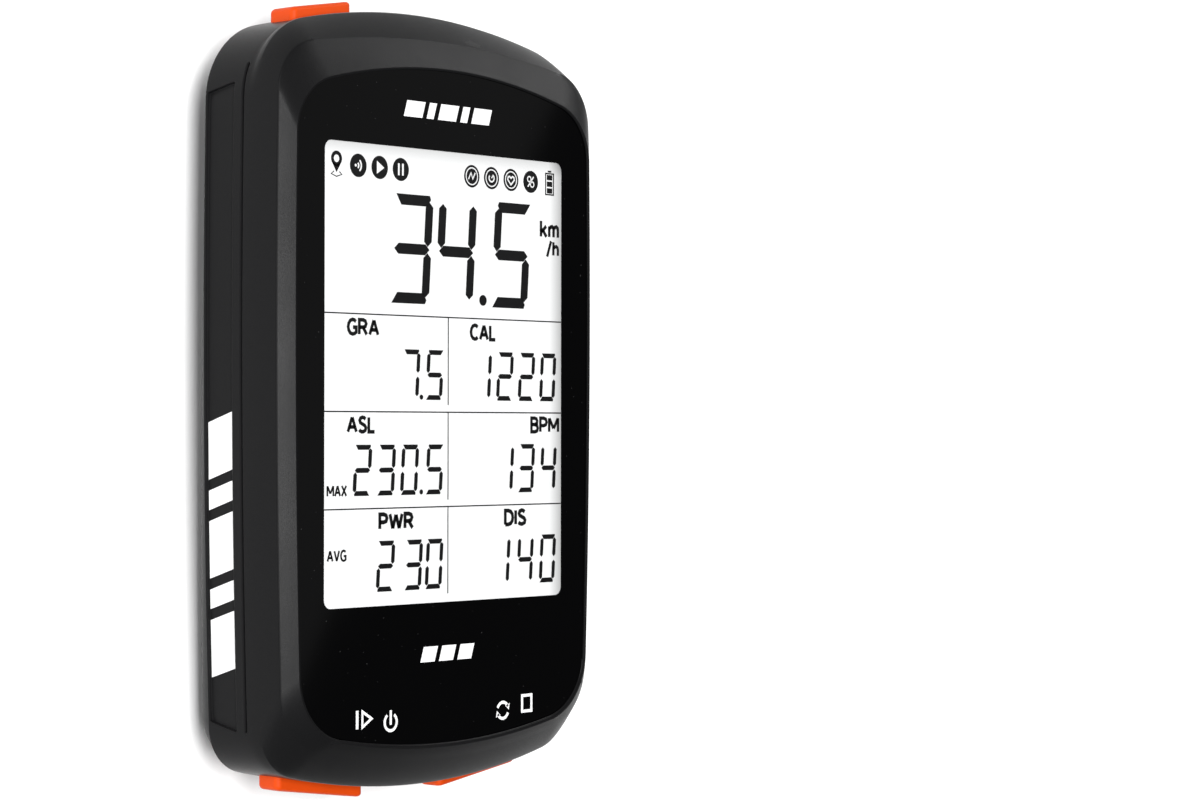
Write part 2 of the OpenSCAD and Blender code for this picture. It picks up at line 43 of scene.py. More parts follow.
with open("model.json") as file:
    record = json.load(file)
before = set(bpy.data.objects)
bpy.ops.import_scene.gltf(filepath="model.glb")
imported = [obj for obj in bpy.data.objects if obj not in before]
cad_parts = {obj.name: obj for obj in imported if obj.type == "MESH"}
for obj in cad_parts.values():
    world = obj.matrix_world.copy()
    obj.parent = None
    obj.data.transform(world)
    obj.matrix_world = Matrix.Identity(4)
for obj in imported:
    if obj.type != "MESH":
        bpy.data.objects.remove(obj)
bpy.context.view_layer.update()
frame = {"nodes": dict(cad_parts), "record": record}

MM = 0.001
CASING = "casing"
GLASS_LOW, GLASS_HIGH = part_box("cover_glass")

# Levels in millimetres: the glass's face, the seam between the halves, and the back face at its middle
FRONT_Z = GLASS_HIGH.z / MM
SEAM_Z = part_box("front_housing")[0].z / MM
BACK_Z = 4.5
BACK_SLOPE = 0.024

# The casing's walls, and how much smaller the cavity's corners are; the casing's face outside the glass; and
# the radii of the glass's corners, in millimetres
SIDE_WALL, END_WALL, WALL_CORNER = 1.8, 2.4, 2
BORDER_SIDE, BORDER_TOP, BORDER_BOTTOM = 2.05, 6.3, 4.9
GLASS_TOP_CORNER, GLASS_BOTTOM_CORNER = 6.5, 7.5

# The crease outside the bevel: its depth below the glass, and its corner radii. Below it the front half's
# bottom corners are this much tighter than the casing's outline.
CREASE_DEPTH = 1.0
CREASE_TOP_CORNER, CREASE_BOTTOM_CORNER = 6.1, 7.3
TIGHTER_CORNER = 0.9

# The lip's inner edge: how far it laps over the glass, and its shift to the right and to the bottom end
LIP_LAP, LIP_RIGHT, LIP_DOWN = 0.15, 0.18, 0.25

# The ledge that the glass lies on: its depth below the glass's face, and its thickness
LEDGE_DEPTH, LEDGE_THICK = 1.4, 1.4


# ---------------------------------------------------------------- sizes and colours


class CasingSizes(bpy.types.PropertyGroup):
    """Outline and depths of the casing, in millimetres"""

    width: bpy.props.FloatProperty(
        name="Width", description="Widest part of the casing, in millimetres", default=51.8
    )
    length: bpy.props.FloatProperty(
        name="Length", description="Length between the arched ends, in millimetres", default=86.8
    )
    top_arch: bpy.props.FloatProperty(
        name="Top arch", description="Radius of the arched top end, in millimetres", default=75.0
    )
    bottom_arch: bpy.props.FloatProperty(
        name="Bottom arch", description="Radius of the arched bottom end, in millimetres", default=88.0
    )
    crease_arch: bpy.props.FloatProperty(
        name="Crease arch",
        description="Radius of the arched crease over the glass, in millimetres",
        default=120.0,
    )
    side_arch: bpy.props.FloatProperty(
        name="Side arch",
        description="Radius of the barrel curve of the long sides, in millimetres",
        default=1200.0,
    )
    side_middle: bpy.props.FloatProperty(
        name="Side middle",
        description="Where along the length the sides are widest, in millimetres",
        default=10.0,
    )
    top_corner: bpy.props.FloatProperty(
        name="Top corners", description="Radius of the top corners, in millimetres", default=9.4
    )
    bottom_corner: bpy.props.FloatProperty(
        name="Bottom corners", description="Radius of the bottom corners, in millimetres", default=6.5
    )
    lip: bpy.props.FloatProperty(
        name="Lip", description="Height of the lip round the glass, in millimetres", default=0.25
    )
    lip_width: bpy.props.FloatProperty(
        name="Lip width", description="Width of the lip round the glass, in millimetres", default=0.55
    )
    edge: bpy.props.FloatProperty(
        name="Edge rounding",
        description="Rounding of the casing's crisp edges, in millimetres",
        default=0.14,
    )
    panel_depth: bpy.props.FloatProperty(
        name="Side panel depth", description="Depth of the long side panels, in millimetres", default=0.35
    )


class DisplaySizes(bpy.types.PropertyGroup):
    """The picture area and what it shows, in millimetres"""

    width: bpy.props.FloatProperty(
        name="Width", description="Width of the picture area, in millimetres", default=38.6
    )
    height: bpy.props.FloatProperty(
        name="Height", description="Height of the picture area, in millimetres", default=50.5
    )
    middle: bpy.props.FloatProperty(
        name="Middle",
        description="Height of its centre over the casing's centre, in millimetres",
        default=2.5,
    )
    slant: bpy.props.FloatProperty(
        name="Slant", description="Lean of the digits", default=math.radians(3.7), subtype="ANGLE"
    )
    big_stroke: bpy.props.FloatProperty(
        name="Large stroke", description="Stroke of the large digits, in millimetres", default=1.22
    )
    small_stroke: bpy.props.FloatProperty(
        name="Small stroke", description="Stroke of the small digits, in millimetres", default=0.55
    )
    speed: bpy.props.StringProperty(name="Speed", description="Number in the top field", default="34.5")


class ButtonSizes(bpy.types.PropertyGroup):
    """The three push buttons, in millimetres"""

    proud: bpy.props.FloatProperty(
        name="Stand-out",
        description="How far a button stands out of the end wall, in millimetres",
        default=1.4,
    )
    corner: bpy.props.FloatProperty(
        name="Corner", description="Radius of a button's corners, in millimetres", default=0.7
    )
    fillet: bpy.props.FloatProperty(
        name="Fillet", description="Rounding of a button's outer edge, in millimetres", default=0.45
    )


def colour_property(name, description, value):
    return bpy.props.FloatVectorProperty(
        name=name, description=description, size=3, min=0.0, max=1.0, subtype="COLOR", default=value
    )


class FinishColours(bpy.types.PropertyGroup):
    """Colours of the finishes"""

    casing: colour_property("Casing", "Moulded casing", (0.007, 0.007, 0.0074))
    cover: colour_property("Rear cover", "Moulded rear cover", (0.007, 0.007, 0.0074))
    button: colour_property("Buttons", "Soft-touch buttons", (0.57, 0.052, 0.002))
    glass: colour_property("Glass border", "Printed border of the glass", (0.0008, 0.0008, 0.0009))
    display: colour_property("Display", "Display background", (0.7, 0.705, 0.705))
    ink: colour_property("Segments", "Dark segments of the display", (0.003, 0.003, 0.0034))
    print: colour_property("Print", "Printed marks", (0.82, 0.82, 0.82))


class StudioSettings(bpy.types.PropertyGroup):
    """Floor, lights and camera"""

    floor: colour_property("Floor", "Pale floor", (0.95, 0.95, 0.95))
    light_power: bpy.props.FloatProperty(
        name="Light power",
        description="Power that the key, left, low and back lights each take a share of",
        default=15.0,
        unit="POWER",
    )
    lens: bpy.props.FloatProperty(name="Lens", description="Focal length in millimetres", default=89.5)


# ---------------------------------------------------------------- shader maths


class Value:
    """A shader socket that takes part in plain arithmetic."""

    def __init__(self, net, socket):
        self.net, self.socket = net, socket

    def maths(self, operation, first, second):
        return self.net.add("ShaderNodeMath", {"operation": operation}, {0: first, 1: second})["Value"]

    def __add__(self, other):
        return self.maths("ADD", self, other)

    def __radd__(self, other):
        return self.maths("ADD", other, self)

    def __sub__(self, other):
        return self.maths("SUBTRACT", self, other)

    def __rsub__(self, other):
        return self.maths("SUBTRACT", other, self)

    def __mul__(self, other):
        return self.maths("MULTIPLY", self, other)

    def __gt__(self, other):
        return self.maths("GREATER_THAN", self, other)

    def clamped(self):
        node = self.net.add("ShaderNodeClamp", {}, {"Value": self})
        return node["Result"]


class Added:
    """A node that has been added; its outputs are read by name."""

    def __init__(self, net, node):
        self.net, self.node = net, node

    def __getitem__(self, name):
        return Value(self.net, self.node.outputs[name])


class Net:
    """The node tree of one material."""

    def __init__(self, name):
        self.material = bpy.data.materials.new(name)
        self.material.use_nodes = True
        self.tree = self.material.node_tree
        self.tree.nodes.clear()

    def add(self, kind, settings=None, values=None):
        """Adds a node: its settings first, then the values or links of its sockets."""
        node = self.tree.nodes.new(kind)
        for key, value in (settings or {}).items():
            setattr(node, key, value)
        for key, value in (values or {}).items():
            if isinstance(value, Value):
                self.tree.links.new(value.socket, node.inputs[key])
            else:
                socket = node.inputs[key]
                socket.default_value = (*value, 1.0) if socket.type == "RGBA" else value
        return Added(self, node)

    def place(self, scale=(1.0, 1.0, 1.0)):
        """Position on the piece, stretched by scale."""
        where = self.add("ShaderNodeTexCoord")["Object"]
        return self.add(
            "ShaderNodeVectorMath", {"operation": "MULTIPLY"}, {0: where, 1: scale}
        )["Vector"]

    def noise(self, scale, detail=3.0, rough=0.55, stretch=(1.0, 1.0, 1.0)):
        values = {"Vector": self.place(stretch), "Scale": scale, "Detail": detail, "Roughness": rough}
        return self.add("ShaderNodeTexNoise", {}, values)["Fac"]

    def blend(self, factor, low, high):
        """Mixes two colours."""
        node = self.add("ShaderNodeMix", {"data_type": "RGBA"}, {"Factor": factor})
        for place, shade in ((6, low), (7, high)):
            if isinstance(shade, Value):
                self.tree.links.new(shade.socket, node.node.inputs[place])
            else:
                node.node.inputs[place].default_value = (*shade, 1.0)
        return Value(self, node.node.outputs[2])

    def edge(self, amount=0.5):
        """High along convex edges, low in hollows."""
        bend = self.add("ShaderNodeNewGeometry")["Pointiness"]
        return ((bend - amount) * 9.0).clamped()

    def finish(self, **values):
        """Joins the shader to the output; underscores stand for spaces."""
        height = values.pop("height", None)
        depth = values.pop("depth", 0.0001)
        strength = values.pop("strength", 0.5)
        sockets = {key.replace("_", " "): value for key, value in values.items()}
        if height is not None:
            sockets["Normal"] = self.add(
                "ShaderNodeBump", {}, {"Strength": strength, "Distance": depth, "Height": height}
            )["Normal"]
        shader = self.add("ShaderNodeBsdfPrincipled", {}, sockets)["BSDF"]
        self.add("ShaderNodeOutputMaterial", {}, {"Surface": shader})
        return self.material


def shade(colour, amount):
    return tuple(max(0.0, min(1.0, c * amount)) for c in colour)


def moulded(name, colour, rough=0.5, grain=9000.0, depth=0.00003, contrast=0.2, level=0.5):
    """Moulded plastic: fine spark-eroded grain, faint flow mottling and polished edges."""
    net = Net(name)
    flow = net.noise(60.0, 4.0)
    grain_height = net.noise(grain, 2.0)
    speck = net.noise(grain * 0.45, 2.0)
    rubbed = net.edge(0.52)
    tone = (flow - 0.5) * contrast + (speck - 0.5) * contrast * 0.6 + 0.5
    base = net.blend(tone.clamped(), shade(colour, 0.8), shade(colour, 1.22))
    base = net.blend(rubbed * 0.35, base, shade(colour, 1.9))
    return net.finish(
        Base_Color=base,
        Roughness=rough + (flow - 0.5) * 0.16 + (speck - 0.5) * 0.12 - rubbed * 0.12,
        Specular_IOR_Level=level,
        height=grain_height,
        depth=depth,
        strength=0.45,
    )


def rubbery(name, colour, rough=0.62, sheen=0.15, level=0.5):
    """Soft rubber or silicone: a dusty bloom and a very fine skin."""
    net = Net(name)
    bloom = net.noise(140.0, 5.0)
    skin = net.noise(7000.0, 2.0)
    tone = ((bloom - 0.5) * 0.9 + 0.5).clamped()
    base = net.blend(tone, shade(colour, 0.88), shade(colour, 1.12))
    base = net.blend(net.edge(0.53) * 0.25, base, shade(colour, 1.25))
    return net.finish(
        Base_Color=base,
        Roughness=rough + (bloom - 0.5) * 0.18,
        Specular_IOR_Level=level,
        Sheen_Weight=sheen,
        Sheen_Roughness=0.45,
        height=skin,
        depth=0.00003,
        strength=0.4,
    )


def plated(name, colour, rough=0.32, stretch=(1.0, 1.0, 1.0), stain=0.25):
    """Bare or plated metal: fine tool lines, stains and bright rubbed edges."""
    net = Net(name)
    lines = net.noise(2600.0, 3.0, 0.6, stretch)
    cloud = net.noise(220.0, 4.0)
    tone = (cloud * stain + 0.5 - stain * 0.5).clamped()
    base = net.blend(tone, shade(colour, 0.72), shade(colour, 1.08))
    base = net.blend(net.edge(0.53) * 0.5, base, shade(colour, 1.3))
    return net.finish(
        Base_Color=base,
        Metallic=1.0,
        Roughness=rough + (lines - 0.5) * 0.25 + (cloud - 0.5) * 0.15,
        height=lines,
        depth=0.00002,
        strength=0.5,
    )


def glassy(name, colour, rough=0.05, level=0.13):
    """Black-printed cover glass: polished, with the faintest smears and dust."""
    net = Net(name)
    smear = net.noise(34.0, 5.0, 0.6, (1.0, 0.35, 1.0))
    dust = net.noise(2400.0, 1.0)
    specks = (dust > 0.79) * 0.5
    base = net.blend(specks, colour, (0.05, 0.05, 0.05))
    return net.finish(
        Base_Color=base,
        Roughness=rough + (smear - 0.45).clamped() * 0.12 + specks * 0.3,
        Specular_IOR_Level=level,
    )


def reflective_display(name, colour, right, top):
    """Pale display: a faint pearl, a matte polariser, and a soft shade at its right and top edges."""
    net = Net(name)
    where = net.add("ShaderNodeSeparateXYZ", {}, {"Vector": net.place()})
    across = ((where["X"] - (right - 0.0023)) * 430.0).clamped()
    up = ((where["Y"] - (top - 0.0017)) * 590.0).clamped()
    shadow = (across * 0.72 + up * 0.42).clamped()
    pearl = net.noise(5200.0, 2.0)
    cloud = net.noise(45.0, 3.0)
    tone = ((pearl - 0.5) * 0.5 + (cloud - 0.5) * 0.4 + 0.5).clamped()
    base = net.blend(tone, shade(colour, 0.975), shade(colour, 1.02))
    base = net.blend(shadow, base, shade(colour, 0.3))
    return net.finish(
        Base_Color=base,
        Roughness=0.42 + (pearl - 0.5) * 0.1,
        Specular_IOR_Level=0.2,
        height=pearl,
        depth=0.000004,
        strength=0.2,
    )


def inked(name, colour, rough=0.4, mottle=0.15):
    """Printed or driven marks: dense, with slightly uneven cover."""
    net = Net(name)
    cover = net.noise(1600.0, 3.0)
    base = net.blend(cover, shade(colour, 1.0 - mottle), shade(colour, 1.0 + mottle * 0.5))
    return net.finish(
        Base_Color=base,
        Roughness=rough + (cover - 0.5) * 0.2,
        Specular_IOR_Level=0.2,
        height=cover,
        depth=0.000006,
        strength=0.3,
    )


def laminate(name, colour, rough=0.38):
    """Circuit board or ribbon: solder mask over a woven base with track shadows."""
    net = Net(name)
    place = net.place()
    tracks = net.add(
        "ShaderNodeTexBrick", {"offset": 0.5},
        {"Vector": place, "Scale": 420.0, "Mortar Size": 0.06, "Mortar Smooth": 0.4},
    )["Fac"]
    weave = net.add("ShaderNodeTexVoronoi", {}, {"Vector": place, "Scale": 2200.0})["Distance"]
    base = net.blend(tracks * 0.7, colour, shade(colour, 1.7))
    return net.finish(
        Base_Color=base,
        Roughness=rough + (weave - 0.4) * 0.2,
        Coat_Weight=0.3,
        height=tracks + weave * 0.2,
        depth=0.00004,
        strength=0.4,
    )


def foamy(name, colour):
    """Open foam or a pressed fibre sheet."""
    net = Net(name)
    cells = net.add("ShaderNodeTexVoronoi", {}, {"Vector": net.place(), "Scale": 3200.0})["Distance"]
    base = net.blend(cells.clamped(), shade(colour, 0.55), shade(colour, 1.25))
    return net.finish(
        Base_Color=base,
        Roughness=0.9 - cells * 0.15,
        height=cells,
        depth=0.0001,
        strength=0.8,
    )


def clear_moulding(name, colour):
    """Clear or milky moulding with moulded dots."""
    net = Net(name)
    dots = net.add("ShaderNodeTexVoronoi", {}, {"Vector": net.place(), "Scale": 1400.0})["Distance"]
    cloud = net.noise(90.0, 3.0)
    base = net.blend(cloud, shade(colour, 0.93), shade(colour, 1.03))
    return net.finish(
        Base_Color=base,
        Roughness=0.16 + dots * 0.2,
        Coat_Weight=0.4,
        height=dots,
        depth=0.00003,
        strength=0.35,
    )


# ---------------------------------------------------------------- outlines, in millimetres


def direction(x, y):
    return math.atan2(y, x)


def corner_centre(arch, arch_r, side, side_r, r, up):
    """Centre of the corner arc that runs smoothly from an end arch into a side arch."""
    gap = math.dist(arch, side)
    ux, uy = (side[0] - arch[0]) / gap, (side[1] - arch[1]) / gap
    along = (gap**2 + (arch_r - r) ** 2 - (side_r - r) ** 2) / (2 * gap)
    across = math.sqrt((arch_r - r) ** 2 - along**2)
    return (arch[0] + along * ux + up * across * uy, arch[1] + along * uy - up * across * ux)


def barrel(sizes, half, top, bottom, top_r, bottom_r, grow=0.0, arch_r=None):
    """The casing's barrel outline as points, clockwise from the top, grown outwards by grow."""
    arch_r = arch_r or sizes.top_arch
    top_c = (0.0, top - arch_r)
    bottom_c = (0.0, bottom + sizes.bottom_arch)
    side_c = (half - sizes.side_arch, sizes.side_middle)
    c1 = corner_centre(top_c, arch_r, side_c, sizes.side_arch, top_r, 1)
    c2 = corner_centre(bottom_c, sizes.bottom_arch, side_c, sizes.side_arch, bottom_r, -1)
    a1 = direction(c1[0] - top_c[0], c1[1] - top_c[1])
    a2 = direction(c1[0] - side_c[0], c1[1] - side_c[1])
    a3 = direction(c2[0] - side_c[0], c2[1] - side_c[1])
    a4 = direction(c2[0] - bottom_c[0], c2[1] - bottom_c[1])
    arch_n, corner_n, side_n = 18, 22, 26
    right = []
    for centre, r, start, end, count in (
        (top_c, arch_r, math.pi / 2, a1, arch_n),
        (c1, top_r, a1, a2, corner_n),
        (side_c, sizes.side_arch, a2, a3, side_n),
        (c2, bottom_r, a3, a4, corner_n),
        (bottom_c, sizes.bottom_arch, a4, -math.pi / 2, arch_n),
    ):
        for i in range(count):
            a = start + (end - start) * i / count
            right.append((centre[0] + (r + grow) * math.cos(a), centre[1] + (r + grow) * math.sin(a)))
    left = [(-x, y) for x, y in reversed(right[1:])]
    return [*right, (0.0, bottom - grow), *left]


def body_outline(sizes, grow=0.0):
    half, end = sizes.width / 2, sizes.length / 2
    return barrel(sizes, half, end, -end, sizes.top_corner, sizes.bottom_corner, grow)


def cavity_outline(sizes, grow=0.0):
    half, end = sizes.width / 2 - SIDE_WALL, sizes.length / 2 - END_WALL
    return barrel(
        sizes, half, end, -end, sizes.top_corner - WALL_CORNER, sizes.bottom_corner - WALL_CORNER, grow
    )


def glass_outline(sizes, grow=0.0):
    half, end = sizes.width / 2, sizes.length / 2
    return barrel(
        sizes, half - BORDER_SIDE, end - BORDER_TOP, BORDER_BOTTOM - end,
        GLASS_TOP_CORNER, GLASS_BOTTOM_CORNER, grow,
    )


def lip_outline(sizes, grow=0.0):
    """Inner edge of the raised lip, which laps a little over the glass at the top end and the left side."""
    return [(x + LIP_RIGHT, y - LIP_DOWN) for x, y in glass_outline(sizes, grow - LIP_LAP)]


def flare(depth, full, inset, power):
    """How far a face stands in at this depth below the glass; nothing from the full depth on."""
    return 0.0 if depth >= full else inset * ((full - depth) / (full - CREASE_DEPTH)) ** power


def housing_outline(sizes, depth):
    """The front housing's outline at a depth below the glass."""
    fade = 4.0
    k = min(1.0, (depth - CREASE_DEPTH) / fade)
    corner = sizes.bottom_corner - TIGHTER_CORNER
    end = sizes.length / 2
    return barrel(
        sizes,
        sizes.width / 2 - flare(depth, 6.0, 0.45, 1.6),
        end - flare(depth, 4.2, 3.3, 1.12),
        flare(depth, 4.0, 3.1, 1.15) - end,
        CREASE_TOP_CORNER + (sizes.top_corner - CREASE_TOP_CORNER) * k,
        CREASE_BOTTOM_CORNER + (corner - CREASE_BOTTOM_CORNER) * k,
        0.0,
        sizes.crease_arch + (sizes.top_arch - sizes.crease_arch) * k,
    )


def rounded_box(half_w, half_h, r, steps=6):
    """Rounded rectangle round the origin, anticlockwise."""
    points = []
    for sx, sy, start in ((1, 1, 0.0), (-1, 1, 0.5), (-1, -1, 1.0), (1, -1, 1.5)):
        for i in range(steps + 1):
            a = math.pi * (start + 0.5 * i / steps)
            points.append((sx * (half_w - r) + r * math.cos(a), sy * (half_h - r) + r * math.sin(a)))
    return points


def circle(r, count=48, x=0.0, y=0.0):
    angles = [2 * math.pi * i / count for i in range(count)]
    return [(x + r * math.cos(a), y + r * math.sin(a)) for a in angles]


def side_line(sizes, side):
    """The recessed face of one long side as points, from the bottom end to the top."""
    outline = [p for p in body_outline(sizes, -sizes.panel_depth) if p[0] * side > 0 and abs(p[1]) < 42]
    return sorted(outline, key=lambda p: p[1])


def line_at(line, y):
    """X of a line of points at y."""
    (xa, ya), (xb, yb) = next((a, b) for a, b in zip(line, line[1:]) if a[1] <= y <= b[1])
    return xa + (xb - xa) * (y - ya) / (yb - ya)


def end_arch(sizes, x, grow, end):
    """Y of an end wall's arch at x, grown outwards, at the top (1) or bottom (-1) end."""
    r = sizes.top_arch if end > 0 else sizes.bottom_arch
    return end * (sizes.length / 2 - r + math.sqrt((r + grow) ** 2 - x * x))


# ---------------------------------------------------------------- meshes


def mesh_object(name, points, faces):
    """A new object from points in millimetres."""
    mesh = bpy.data.meshes.new(name)
    mesh.from_pydata([Vector(p) * MM for p in points], [], faces)
    piece = bpy.data.objects.new(name, mesh)
    bpy.context.scene.collection.objects.link(piece)
    square_up(mesh)
    return piece


def square_up(mesh):
    """Joins doubled points and turns every face outwards."""
    work = bmesh.new()
    work.from_mesh(mesh)
    bmesh.ops.remove_doubles(work, verts=work.verts, dist=1e-7)
    bmesh.ops.recalc_face_normals(work, faces=work.faces)
    work.to_mesh(mesh)
    work.free()
    mesh.update()


def loft(name, rings, closed=False):
    """Skin through rings of equal length; its ends are capped unless it closes on itself."""
    n = len(rings[0])
    points = [p for ring in rings for p in ring]
    faces = []
    last = len(rings) if closed else len(rings) - 1
    for i in range(last):
        a, b = i * n, (i + 1) % len(rings) * n
        faces += [(a + j, a + (j + 1) % n, b + (j + 1) % n, b + j) for j in range(n)]
    if not closed:
        faces += [tuple(range(n)), tuple((len(rings) - 1) * n + j for j in range(n))]
    return mesh_object(name, points, faces)


def at_height(outline, z):
    return [(x, y, z) for x, y in outline]


def along_y(outline, y, x=0.0, z=0.0):
    """An outline drawn in the X and Z directions, stood at one place along Y."""
    return [(x + a, y, z + b) for a, b in outline]


def slab(name, outline, low, high):
    return loft(name, [at_height(outline, low), at_height(outline, high)])


def bar(name, outline, x, z, y0, y1):
    return loft(name, [along_y(outline, y0, x, z), along_y(outline, y1, x, z)])


def box_cutter(name, low, high):
    x0, y0, z0 = low
    x1, y1, z1 = high
    return slab(name, [(x0, y0), (x1, y0), (x1, y1), (x0, y1)], z0, z1)


def settle(piece):
    """Turns a piece's modifiers into plain mesh."""
    graph = bpy.context.evaluated_depsgraph_get()
    mesh = bpy.data.meshes.new_from_object(piece.evaluated_get(graph))
    old = piece.data
    piece.modifiers.clear()
    piece.data = mesh
    bpy.data.meshes.remove(old)
    mesh.name = piece.name


def combine(piece, tools, operation="DIFFERENCE"):
    """Cuts the tools out of a piece, or joins them to it, and removes them."""
    for tool in tools:
        cut = piece.modifiers.new("Cut", "BOOLEAN")
        cut.operation, cut.solver, cut.object = operation, "EXACT", tool
    settle(piece)
    for tool in tools:
        mesh = tool.data
        bpy.data.objects.remove(tool)
        bpy.data.meshes.remove(mesh)
    if not piece.data.polygons:
        raise RuntimeError(f"{piece.name} was cut away altogether")
    return piece


def soften(piece, width, angle=28.0, segments=2):
    """Rounds the crisp edges by a width in millimetres."""
    work = bmesh.new()
    work.from_mesh(piece.data)
    bmesh.ops.dissolve_degenerate(work, dist=2e-6, edges=work.edges)
    work.to_mesh(piece.data)
    work.free()
    rounding = piece.modifiers.new("Rounding", "BEVEL")
    rounding.width, rounding.segments = width * MM, segments
    rounding.limit_method, rounding.angle_limit = "ANGLE", math.radians(angle)
    rounding.use_clamp_overlap = False
    rounding.miter_outer = "MITER_ARC"
    settle(piece)


def keep_between(piece, low, high):
    """Lays points that rounding pushed past the lowest or highest level back onto it."""
    for point in piece.data.vertices:
        point.co.z = min(max(point.co.z, low * MM), high * MM)


def dress(piece, material, body=CASING, stands_for=(), angle=38.0):
    """Gives a piece its material and smooth shading, and joins it to its body."""
    piece.data.materials.clear()
    piece.data.materials.append(material)
    piece.data.shade_smooth()
    piece.data.set_sharp_from_angle(angle=math.radians(angle))
    weighted = piece.modifiers.new("Even normals", "WEIGHTED_NORMAL")
    weighted.keep_sharp = True
    settle(piece)
    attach(piece, body)
    if stands_for:
        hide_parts(*stands_for)


# ---------------------------------------------------------------- flat marks


def prism(points, low, high):
    """Points and faces of a thin upright prism over a flat outline."""
    n = len(points)
    corners = [(x, y, low) for x, y in points] + [(x, y, high) for x, y in points]
    faces = [tuple(reversed(range(n))), tuple(range(n, 2 * n))]
    faces += [(j, (j + 1) % n, n + (j + 1) % n, n + j) for j in range(n)]
    return corners, faces


def ribbon(points, width, closed=False):
    """Quads, as outlines, that follow a line with mitred joints."""
    if closed:
        points = [*points, points[0]]
    sides = []
    for i, (x, y) in enumerate(points):
        before = points[i - 1] if i else (points[-2] if closed else points[0])
        after = points[i + 1] if i + 1 < len(points) else (points[1] if closed else points[-1])
        d1 = Vector((x - before[0], y - before[1]))
        d2 = Vector((after[0] - x, after[1] - y))
        d1 = (d1 if d1.length else d2).normalized()
        d2 = (d2 if d2.length else d1).normalized()
        middle = (d1 + d2).normalized()
        reach = width / 2 / max(0.62, middle.dot(d2))
        sides.append((Vector((-middle.y, middle.x)) * reach, Vector((x, y))))
    quads = []
    for (n0, p0), (n1, p1) in zip(sides, sides[1:]):
        quads.append([tuple(p0 - n0), tuple(p1 - n1), tuple(p1 + n1), tuple(p0 + n0)])
    return quads


class Marks:
    """Collects flat shapes and makes one thin piece of them."""

    def __init__(self, low, high):
        self.low, self.high, self.points, self.faces = low, high, [], []

    def fill(self, outline):
        corners, faces = prism(outline, self.low, self.high)
        start = len(self.points)
        self.points += corners
        self.faces += [tuple(start + i for i in face) for face in faces]

    def line(self, points, width, closed=False):
        for quad in ribbon(points, width, closed):
            self.fill(quad)

    def ring(self, x, y, r, width, start=0.0, end=360.0):
        full = end - start >= 360.0
        count = max(10, int((end - start) / 9))
        steps = range(count if full else count + 1)
        angles = [math.radians(start + (end - start) * i / count) for i in steps]
        self.line([(x + r * math.cos(a), y + r * math.sin(a)) for a in angles], width, full)

    def make(self, name):
        mesh = bpy.data.meshes.new(name)
        mesh.from_pydata([Vector(p) * MM for p in self.points], [], self.faces)
        piece = bpy.data.objects.new(name, mesh)
        bpy.context.scene.collection.objects.link(piece)
        return piece


SEGMENTS = {
    "0": "abcdef", "1": "bc", "2": "abged", "3": "abgcd", "4": "fgbc",
    "5": "afgcd", "6": "afgedc", "7": "abc", "8": "abcdefg", "9": "abcdfg",
}


def digit(marks, figure, x, y, wide, tall, stroke, slant, split=0.17):
    """Draws one seven-segment figure whose lower left corner is x, y."""
    gap = split * stroke + 0.03
    lean = math.tan(slant)
    t, h, top, mid = stroke, stroke / 2, tall, tall / 2
    flat = [
        (gap, top), (wide - h, top), (wide - 0.15 * t - gap, top - 0.38 * t),
        (wide - 0.62 * t - gap, top - t), (t * 0.7 + gap, top - t),
    ]
    upright = [
        (wide - h, top - 0.42 * t - gap), (wide, top - 0.85 * t - gap),
        (wide, mid + 0.55 * t + gap), (wide - h, mid + 0.08 * t + gap),
        (wide - t, mid + 0.55 * t + gap), (wide - t, top - 0.85 * t - gap),
    ]
    shapes = {
        "a": flat,
        "d": [(px, top - py) for px, py in flat],
        "g": [
            (gap + 0.05 * t, mid), (0.6 * t + gap, mid + h), (wide - 0.6 * t - gap, mid + h),
            (wide - 0.05 * t - gap, mid), (wide - 0.6 * t - gap, mid - h), (0.6 * t + gap, mid - h),
        ],
        "b": upright,
        "c": [(px, top - py) for px, py in upright],
        "f": [(wide - px, py) for px, py in upright],
        "e": [(wide - px, top - py) for px, py in upright],
    }
    if figure == "5":
        shapes["a"] = [(wide - px, py) for px, py in flat]
    if figure == "2":
        shapes["d"] = [(wide - px, top - py) for px, py in flat]
    for key in SEGMENTS[figure]:
        marks.fill([(x + px + py * lean, y + py) for px, py in shapes[key]])


